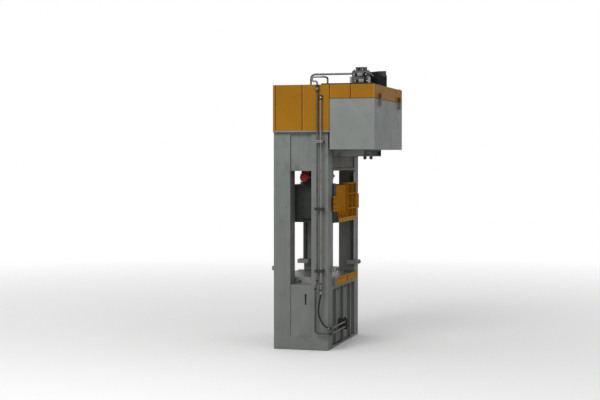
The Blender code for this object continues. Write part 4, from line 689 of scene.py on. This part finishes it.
DECK_TOP, SHROUD_TOP = 5.0203, 6.06
SHROUD_SIDE, SHROUD_REAR = 1.58, 0.64
JOINT_HALF, HIGHLIGHT_HALF = 0.012, 0.009
sheet_joints, given, result = new_group(
    "sheet_joints",
    {"Body": ("Color", (0.5, 0.5, 0.5, 1.0)), "Joint": ("Color", (0.2, 0.2, 0.2, 1.0)),
     "Lip": ("Color", (0.6, 0.6, 0.6, 1.0)), "Gap": ("Color", (0.1, 0.1, 0.1, 1.0))},
    {"Color": "Color"})
tree = sheet_joints
place = shader_node(tree, "SeparateXYZ", {0: shader_node(tree, "TexCoord").outputs["Object"]}).outputs
facing = shader_node(tree, "SeparateXYZ", {0: shader_node(tree, "NewGeometry").outputs["Normal"]}).outputs
sideways = remap(tree, calculated(tree, "ABSOLUTE", facing["X"], 0.0), 0.6, 0.8)
across = calculated(tree, "ABSOLUTE", place["X"], 0.0)
side_joints = most(tree, [lined(tree, place["Y"], y, JOINT_HALF) for y in (0.583, -0.055, -0.696, -1.184)])
# Pale bands beside the joints and along the sheet corners are painted highlights, where the folds would catch
# the light.
side_highlights = most(tree, [lined(tree, place["Y"], y - 0.025, HIGHLIGHT_HALF) for y in (-0.055, -0.696, -1.184)]
                 + [lined(tree, place["Y"], y, 0.025) for y in (0.622, -1.72)])
end_joints = most(tree, [lined(tree, across, x, JOINT_HALF) for x in (0.0, 0.8)])
end_highlights = lined(tree, across, SHROUD_SIDE, 0.035)
fold_highlights = mixed(tree, sideways, end_highlights, side_highlights)
joints = mixed(tree, sideways, end_joints, side_joints)
shade = mixed(tree, fold_highlights, given["Body"], given["Lip"])
shade = mixed(tree, joints, shade, given["Joint"])
# A dark line along the sheet's foot, where it meets the tank, is a painted shadow.
over_tank = remap(tree, place["Y"], -0.70, -0.69, 1.0, 0.0)
gap_shade = calculated(tree, "MULTIPLY", lined(tree, place["Z"], TANK_TOP, 0.016), over_tank)
tree.links.new(mixed(tree, gap_shade, shade, given["Gap"]), result["Color"])
sheet_yellow = enamel("sheet_yellow", (0.32, 0.143, 0.012), streaks=0.06, grime=0.08, gloss=0.36, shine=0.01)
painted(sheet_yellow, sheet_joints, Joint=(0.175, 0.064, 0.005), Lip=(0.35, 0.175, 0.035),
        Gap=(0.07, 0.065, 0.05))
post_yellow = enamel("post_yellow", (0.40, 0.20, 0.04), streaks=0.10, grime=0.10, gloss=0.36)
for word in ("left", "right", "rear", "front"):
    eased("shroud_" + word, 0.002, sheet_yellow)
foot_row, head_row = DECK_TOP + 0.04, SHROUD_TOP - 0.04
for side, word in ((-1, "left"), (1, "right")):
    head = 0.006 if side < 0 else 0.0004
    places = [(side * SHROUD_SIDE, y, z) for y in (0.50, 0.26, 0.02, -0.12, -0.30, -0.62)
              for z in (foot_row, head_row)]
    places += [(side * SHROUD_SIDE, y, z) for y in (-0.78, -1.10, -1.26, -1.62)
               for z in (TANK_TOP + 0.035, head_row)]
    fasteners("shroud_screws_" + word, places, (side, 0, 0), 0.014, head, post_yellow)
spread = (0.07, 0.35, 0.73, 0.87, 1.15, 1.5)
places = [(side * x, SHROUD_REAR, z) for side in (-1, 1) for x in spread for z in (foot_row, head_row)]
fasteners("shroud_screws_rear", places, (0, 1, 0), 0.014, 0.006, post_yellow)
places = [(side * x, TANK_FRONT, head_row) for side in (-1, 1) for x in spread]
fasteners("shroud_screws_front", places, (0, -1, 0), 0.014, 0.006, post_yellow)
POST_X, RAIL_HEIGHT = 1.5535, 6.035
bm = bmesh.new()
half_way, tall = (DECK_TOP + SHROUD_TOP) / 2, SHROUD_TOP - DECK_TOP - 0.01
for x in (-1, 1):
    for y in (0.6135, -0.62):
        for wide, deep in ((0.05, 0.006), (0.006, 0.05)):
            middle = (x * (POST_X - wide / 2), y - math.copysign(deep / 2, y), half_way)
            cuboid(bm, middle, (wide, deep, tall))
rails = [((x * 1.53, -0.548), (0.045, 2.31)) for x in (-1, 1)]
rails += [((0, y), (3.0, 0.04)) for y in (0.592, -1.687)]
for middle, size in rails:
    cuboid(bm, (*middle, RAIL_HEIGHT), (*size, 0.04))
finished("shroud_frame", bm, post_yellow)
# A black strip along the front half's top edge is painted shade, standing for the shadowed flange behind the
# sheet.
edge_shade_black = enamel("edge_shade_black", (0.022, 0.022, 0.024), streaks=0.0, grime=0.2, gloss=0.55)
bars("shroud_edge_shade", [((side * 1.565, -0.50, 6.070), (side * 1.565, -1.70, 6.070)) for side in (-1, 1)],
     0.015, edge_shade_black, sides=12)


# Pump sets: foot-mounted motors with cooling ribs, a cowl over the rear fan and a terminal box, each
# driving an oil pump through a cast bell housing.
motor_blue = enamel("motor_blue", (0.09, 0.12, 0.135), streaks=0.1, grime=0.4, gloss=0.4)
MOTOR_AXIS, PUMP_BODY_END = 5.2303, -0.2803
for side, word in ((-1, "left"), (1, "right")):
    low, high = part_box("motor_" + word)
    eased("motor_" + word, 0.004, motor_blue)
    eased("pump_" + word, 0.005, raw_casting)
    middle = (low.x + high.x) / 2
    slats = [(-0.09, 0.09), (-0.06, 0.115), (-0.03, 0.13), (0, 0.135), (0.03, 0.13), (0.06, 0.115),
             (0.09, 0.09)]
    back = high.y - 0.0035
    wires = [((middle - reach, back, MOTOR_AXIS + z), (middle + reach, back, MOTOR_AXIS + z))
             for z, reach in slats]
    bars("cowl_grille_" + word, wires, 0.004, black_bolts, sides=6)
    lid = [(middle + dx, (low.y + high.y) / 2 + dy, high.z) for dx in (-0.055, 0.055)
           for dy in (-0.055, 0.055)]
    fasteners("terminal_screws_" + word, lid, (0, 0, 1), 0.014, 0.008, zinc)
    low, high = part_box("pump_" + word)
    bell = ring_places((middle, high.y - 0.1, MOTOR_AXIS), 0.115, 4, math.pi / 4, upright=True)
    fasteners("bell_bolts_" + word, bell, (0, -1, 0), 0.024, 0.018, zinc)
    cap = ring_places((middle, PUMP_BODY_END, MOTOR_AXIS), 0.07, 6, upright=True)
    fasteners("pump_bolts_" + word, cap, (0, -1, 0), 0.022, 0.016, zinc)
    port = (middle + side * 0.098, PUMP_BODY_END + 0.1, MOTOR_AXIS)
    fasteners("pump_ports_" + word, [port], (side, 0, 0), 0.07, 0.05, black_bolts)


# Valve block: a drilled steel block on the tank, phosphated black, with valve caps on top. Solenoid valves
# lie across its outer face, and bent steel tube and rubber hose run between the fittings round them.
block_steel = metal_finish("block_steel", (0.07, 0.07, 0.072), (60, 60, 60), 0.36, 0.55, 0.4, metallic=0.9)
eased("valve_manifold", 0.004, block_steel)
BLOCK_LEFT, BLOCK_RIGHT, BLOCK_FRONT, BLOCK_TOP = -1.50, -1.16, -1.55, 6.36
black_enamel = enamel("black_enamel", (0.016, 0.017, 0.018), streaks=0.05, grime=0.15, gloss=0.5)
bright_steel = metal_finish("bright_steel", (0.36, 0.355, 0.34), (30, 30, 30), 0.2, 0.36, 0.25)
valve_steel = metal_finish("valve_steel", (0.15, 0.148, 0.14), (30, 30, 30), 0.42, 0.6, 0.5)


def blocks(name, boxes, ease, finish):
    """Small square-built bodies in one piece, each from its middle and its size, with eased edges."""
    bm = bmesh.new()
    for middle, size in boxes:
        cuboid(bm, middle, size)
    bmesh.ops.bevel(bm, geom=bm.edges[:], offset=ease, segments=2, profile=0.5, affect="EDGES", material=-1)
    return finished(name, bm, finish)


def tubing(name, points, radius, finish):
    """Tube through the points given, rounded at each corner."""
    bm = bmesh.new()
    sides = 12
    for start, end in zip(points, points[1:]):
        round_bar(bm, start, end, radius, sides)
    for corner in points[1:-1]:
        bmesh.ops.create_uvsphere(bm, u_segments=sides, v_segments=sides // 2, radius=radius,
                                  matrix=Matrix.Translation(corner))
    return finished(name, bm, finish, smooth=60)


caps = [(-1.33, BLOCK_FRONT + 0.0875 * (i + 1), 6.449) for i in range(3)]
fasteners("valve_caps", caps, (0, 0, 1), 0.062, 0.0008, zinc)
corners = [(x, y, BLOCK_TOP) for x in (-1.455, -1.205) for y in (-1.51, -1.375, -1.24)]
fasteners("valve_cover_bolts", corners, (0, 0, 1), 0.034, 0.028, black_bolts, socket=True)
valves = [(BLOCK_LEFT - 0.025, y, z) for y, z in ((-1.39, 6.27), (-1.42, 6.13), (-1.36, 5.92))]
bodies = [(middle, (0.05, 0.12, 0.075)) for middle in valves]
blocks("valve_bodies", bodies, 0.004, valve_steel)
coils = [((x, y + dy, z), (0.046, 0.062, 0.058)) for x, y, z in valves for dy in (-0.092, 0.092)]
coils += [((BLOCK_RIGHT + reach, -1.375, z), (0.04, 0.08, 0.08)) for z in (5.89, 6.0475, 6.204)
          for reach in (0.03, 0.085)]
blocks("valve_coils", coils, 0.005, black_enamel)
ends = [((x, y + dy, z), (x, y + dy * 1.16, z)) for x, y, z in valves for dy in (-0.12, 0.12)]
bars("valve_end_nuts", ends, 0.016, bright_steel, sides=12)
plugs = [(BLOCK_LEFT, y, z) for y, z in ((-1.235, 6.02), (-1.52, 6.02), (-1.30, 5.80))]
fasteners("valve_plugs", plugs, (-1, 0, 0), 0.036, 0.02, black_bolts, socket=True)
fittings = [(x, BLOCK_FRONT, z) for x, z in ((-1.43, 6.28), (-1.25, 6.20), (-1.33, 5.98), (-1.22, 5.84))]
fasteners("valve_fittings", fittings, (0, -1, 0), 0.044, 0.03, black_bolts)
pilot = [(-1.44, -1.43, BLOCK_TOP), (-1.44, -1.43, 6.42), (-1.05, -1.43, 6.42), (-1.05, -1.59, 6.26),
         (-0.95, -1.59, 6.26)]
tubing("pilot_tube", pilot, 0.009, bright_steel)
bow = BLOCK_LEFT - 0.045
drain = [(BLOCK_LEFT, -1.50, 6.32), (bow, -1.50, 6.29), (bow, -1.50, 6.11), (BLOCK_LEFT, -1.50, 6.08)]
tubing("drain_hose", drain, 0.014, black_enamel)
stub = ((-1.475, -1.168, TANK_TOP), (-1.475, -1.168, 6.23))
bars("return_stub", [stub], 0.028, bright_steel, sides=20)
before = BLOCK_FRONT - 0.014
risers = [((x, before, TANK_TOP), (x, before, 6.22)) for x in (-1.47, -1.38, -1.29)]
bars("block_tubes", risers, 0.012, bright_steel, sides=12)


# Oil cooler: a black sheet cabinet with a sloped hood, a finned core behind its front, a fan in a round
# shroud at its back behind a wire guard, and a filler knob on its side.
cooler_low, cooler_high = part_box("cooler_cabinet")
FAN_X, FAN_Z = -0.50, 6.0425
eased("cooler_cabinet", 0.004, black_enamel)
eased("cooler_fan", 0.001, dark_enamel, steps=1)
FINS, CORE_LEFT, CORE_WIDTH = 58, -0.89, 0.78
bm = bmesh.new()
for i in range(FINS):
    x = CORE_LEFT + i * CORE_WIDTH / (FINS - 1)
    cuboid(bm, (x, cooler_low.y - 0.004, FAN_Z), (0.004, 0.008, 0.49))
finished("cooler_fins", bm, black_enamel)
face = cooler_low.y - 0.008
rims = [((FAN_X, face, z), (0.87, 0.018, 0.05)) for z in (5.775, 6.31)]
rims += [((x, face, FAN_Z), (0.04, 0.018, 0.585)) for x in (-0.925, -0.075)]
blocks("cooler_front_frame", rims, 0.003, black_enamel)
HOOD_MIDDLE, HOOD_LOW_END, HOOD_HIGH_END = 6.375, 6.362, 6.44
bm = bmesh.new()
cuboid(bm, (FAN_X, -1.59, HOOD_MIDDLE), (0.90, 0.178, 0.05))
for vert in bm.verts:
    if vert.co.z > HOOD_MIDDLE:
        vert.co.z = HOOD_LOW_END if vert.co.x < FAN_X else HOOD_HIGH_END
bmesh.ops.bevel(bm, geom=bm.edges[:], offset=0.004, segments=2, profile=0.5, affect="EDGES", material=-1)
finished("cooler_hood", bm, black_enamel)
bm = bmesh.new()
for radius in (0.07, 0.11, 0.15, 0.19, 0.23):
    hoop(bm, (FAN_X, cooler_high.y + 0.006, FAN_Z), radius, 0.0025, (0, 1, 0), 36)
for i in range(8):
    angle = math.pi * i / 4 + math.pi / 8
    hub = Matrix.Translation((FAN_X, cooler_high.y + 0.006, FAN_Z)) @ Matrix.Rotation(angle, 4, "Y")
    bmesh.ops.create_cone(bm, cap_ends=True, segments=6, radius1=0.003, radius2=0.003, depth=0.17,
                          matrix=hub @ Matrix.Translation((0, 0, 0.155)))
finished("fan_guard", bm, zinc)
screws = ring_places((FAN_X, cooler_high.y, FAN_Z), 0.24, 4, math.pi / 4, upright=True)
fasteners("guard_screws", screws, (0, 1, 0), 0.018, 0.01, zinc)
fasteners("filler_grip", [(0.0, (cooler_low.y + cooler_high.y) / 2, 6.25)], (1, 0, 0), 0.05, 0.0005, zinc)


# Pipes: drawn steel tube, bent cold, dulled by handling and oil. Clamps hold the two long ones to the
# upright, and elbows and unions of blackened steel join them.
pipe_grey = metal_finish("pipe_grey", (0.20, 0.195, 0.185), (12, 12, 2.5), 0.36, 0.52, 0.35)
pipe_dark = metal_finish("pipe_dark", (0.11, 0.108, 0.10), (12, 12, 2.5), 0.36, 0.52, 0.5)
pipe_light = metal_finish("pipe_light", (0.20, 0.19, 0.175), (12, 12, 2.5), 0.34, 0.5, 0.3)
for name in ("top_pipe_return", "bed_pipe_upper", "bed_pipe_lower"):
    eased(name, 0.001, pipe_grey, steps=1)
for name in ("top_pipe_main", "side_pipe_main"):
    eased(name, 0.001, pipe_dark, steps=1)
eased("side_pipe_cushion", 0.002, pipe_light)
fitting_black = metal_finish("fitting_black", (0.03, 0.03, 0.031), (50, 50, 50), 0.36, 0.55, 0.3,
                             metallic=0.8)
for name in ("side_pipe_flange", "pipe_elbow_upper", "pipe_elbow_lower"):
    eased(name, 0.004, fitting_black)
eased("bed_port_block", 0.004, shoe_grey)
PIPE_X, MAIN_Y, CUSHION_Y = -1.62, -0.42, -0.506
UPPER_PIPE, LOWER_PIPE = 0.53, 0.41
for name in ("pipe_clamp_low", "pipe_clamp_middle", "pipe_clamp_high"):
    low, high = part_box(name)
    eased(name, 0.004, pipe_light if name == "pipe_clamp_high" else fitting_black)
    middle = (low.z + high.z) / 2
    places = [(low.x, y, middle) for y in (low.y + 0.022, (MAIN_Y + CUSHION_Y) / 2, high.y - 0.022)]
    fasteners(name + "_bolts", places, (-1, 0, 0), 0.022, 0.0006, black_bolts)


def nuts(name, places, across, length, finish=fitting_black, axis="Z"):
    """Hexagon union nuts round a pipe, with a rounded collar at each end."""
    bm = bmesh.new()
    turn = {"X": Matrix.Rotation(math.pi / 2, 4, "Y"), "Y": Matrix.Rotation(math.pi / 2, 4, "X"),
            "Z": Matrix()}[axis]
    for place in places:
        at = Matrix.Translation(place) @ turn
        bmesh.ops.create_cone(bm, cap_ends=True, segments=6, radius1=across * 0.577, radius2=across * 0.577,
                              depth=length * 0.7, matrix=at)
        bmesh.ops.create_cone(bm, cap_ends=True, segments=18, radius1=across * 0.47, radius2=across * 0.47,
                              depth=length, matrix=at)
    bmesh.ops.bevel(bm, geom=bm.edges[:], offset=0.0012, segments=1, profile=0.5, affect="EDGES", material=-1)
    return finished(name, bm, finish, smooth=25)


band = ((PIPE_X, MAIN_Y, 5.935), (PIPE_X, MAIN_Y, 5.99))
bars("union_band", [band], 0.04, pipe_light, sides=24)
collars = [((PIPE_X, CUSHION_Y, z - 0.014), (PIPE_X, CUSHION_Y, z + 0.014)) for z in (1.40, 1.54)]
bars("coupling_collars", collars, 0.0385, fitting_black, sides=24)
nuts("main_pipe_unions", [(PIPE_X, MAIN_Y, 1.61), (PIPE_X, -0.38, 1.42)], 0.062, 0.034)
nuts("elbow_nuts", [(-1.505, -0.75, z) for z in (UPPER_PIPE, LOWER_PIPE)], 0.064, 0.03, axis="X")
nuts("elbow_inlets", [(PIPE_X, -0.722, z) for z in (UPPER_PIPE, LOWER_PIPE)], 0.05, 0.03, axis="Y")
nuts("deck_pipe_nuts", [(-1.40, -0.214, 5.05)], 0.06, 0.04)
nuts("manifold_inlet", [(-1.40, -1.185, 6.30)], 0.062, 0.03, axis="Y")
low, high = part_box("bed_port_block")
middle = (low.x + high.x) / 2
nuts("port_nuts", [(low.x - 0.022, -0.75, z) for z in (UPPER_PIPE, LOWER_PIPE)], 0.052, 0.036, axis="X")
plugs = [(middle, low.y, z) for z in (LOWER_PIPE, UPPER_PIPE)]
fasteners("port_plugs", plugs, (0, -1, 0), 0.034, 0.024, fitting_black)
fasteners("port_plug_top", [(middle, -0.73, high.z)], (0, 0, 1), 0.044, 0.03, fitting_black)
nuts("cushion_pipe_nuts", [(PIPE_X, CUSHION_Y, z) for z in (5.725, 5.805)], 0.066, 0.03)
bm = bmesh.new()
bmesh.ops.create_uvsphere(bm, u_segments=24, v_segments=12, radius=0.030,
                          matrix=Matrix.Translation((PIPE_X, CUSHION_Y, 5.763)))
finished("cushion_pipe_union", bm, bright_steel)


# Cushion hose: wire-braided rubber hose, wrapped in cloth under its cover, with a steel ferrule pressed on
# at each end. Both ends are held, so it hangs in one bow.
hose_black = bpy.data.materials.new("hose_black")
hose_black.use_nodes = True
tree = hose_black.node_tree
place = shader_node(tree, "TexCoord").outputs["Object"]
weave = shader_node(tree, "TexWave", {"Vector": place, "Scale": 55.0, "Distortion": 0.6},
                    bands_direction="Z").outputs[0]
speckle = noise(tree, place, 60.0, 4.0)
shader = tree.nodes["Principled BSDF"]
shade = mixed(tree, remap(tree, speckle, 0.45, 0.7), (0.008, 0.008, 0.009, 1.0), (0.022, 0.021, 0.019, 1.0))
shader.inputs["Specular IOR Level"].default_value = 0.2
tree.links.new(shade, shader.inputs["Base Color"])
tree.links.new(remap(tree, speckle, 0.3, 0.7, 0.5, 0.72), shader.inputs["Roughness"])
raised = shader_node(tree, "Bump", {"Height": weave, "Distance": 0.0006, "Strength": 0.5})
tree.links.new(raised.outputs["Normal"], shader.inputs["Normal"])
eased("cushion_hose", 0.001, hose_black, steps=1)
nuts("hose_ferrule_top", [(PIPE_X, CUSHION_Y, 1.33)], 0.044, 0.055, zinc)
nuts("hose_ferrule_foot", [(PIPE_X, -0.69, UPPER_PIPE)], 0.044, 0.045, zinc, axis="Y")
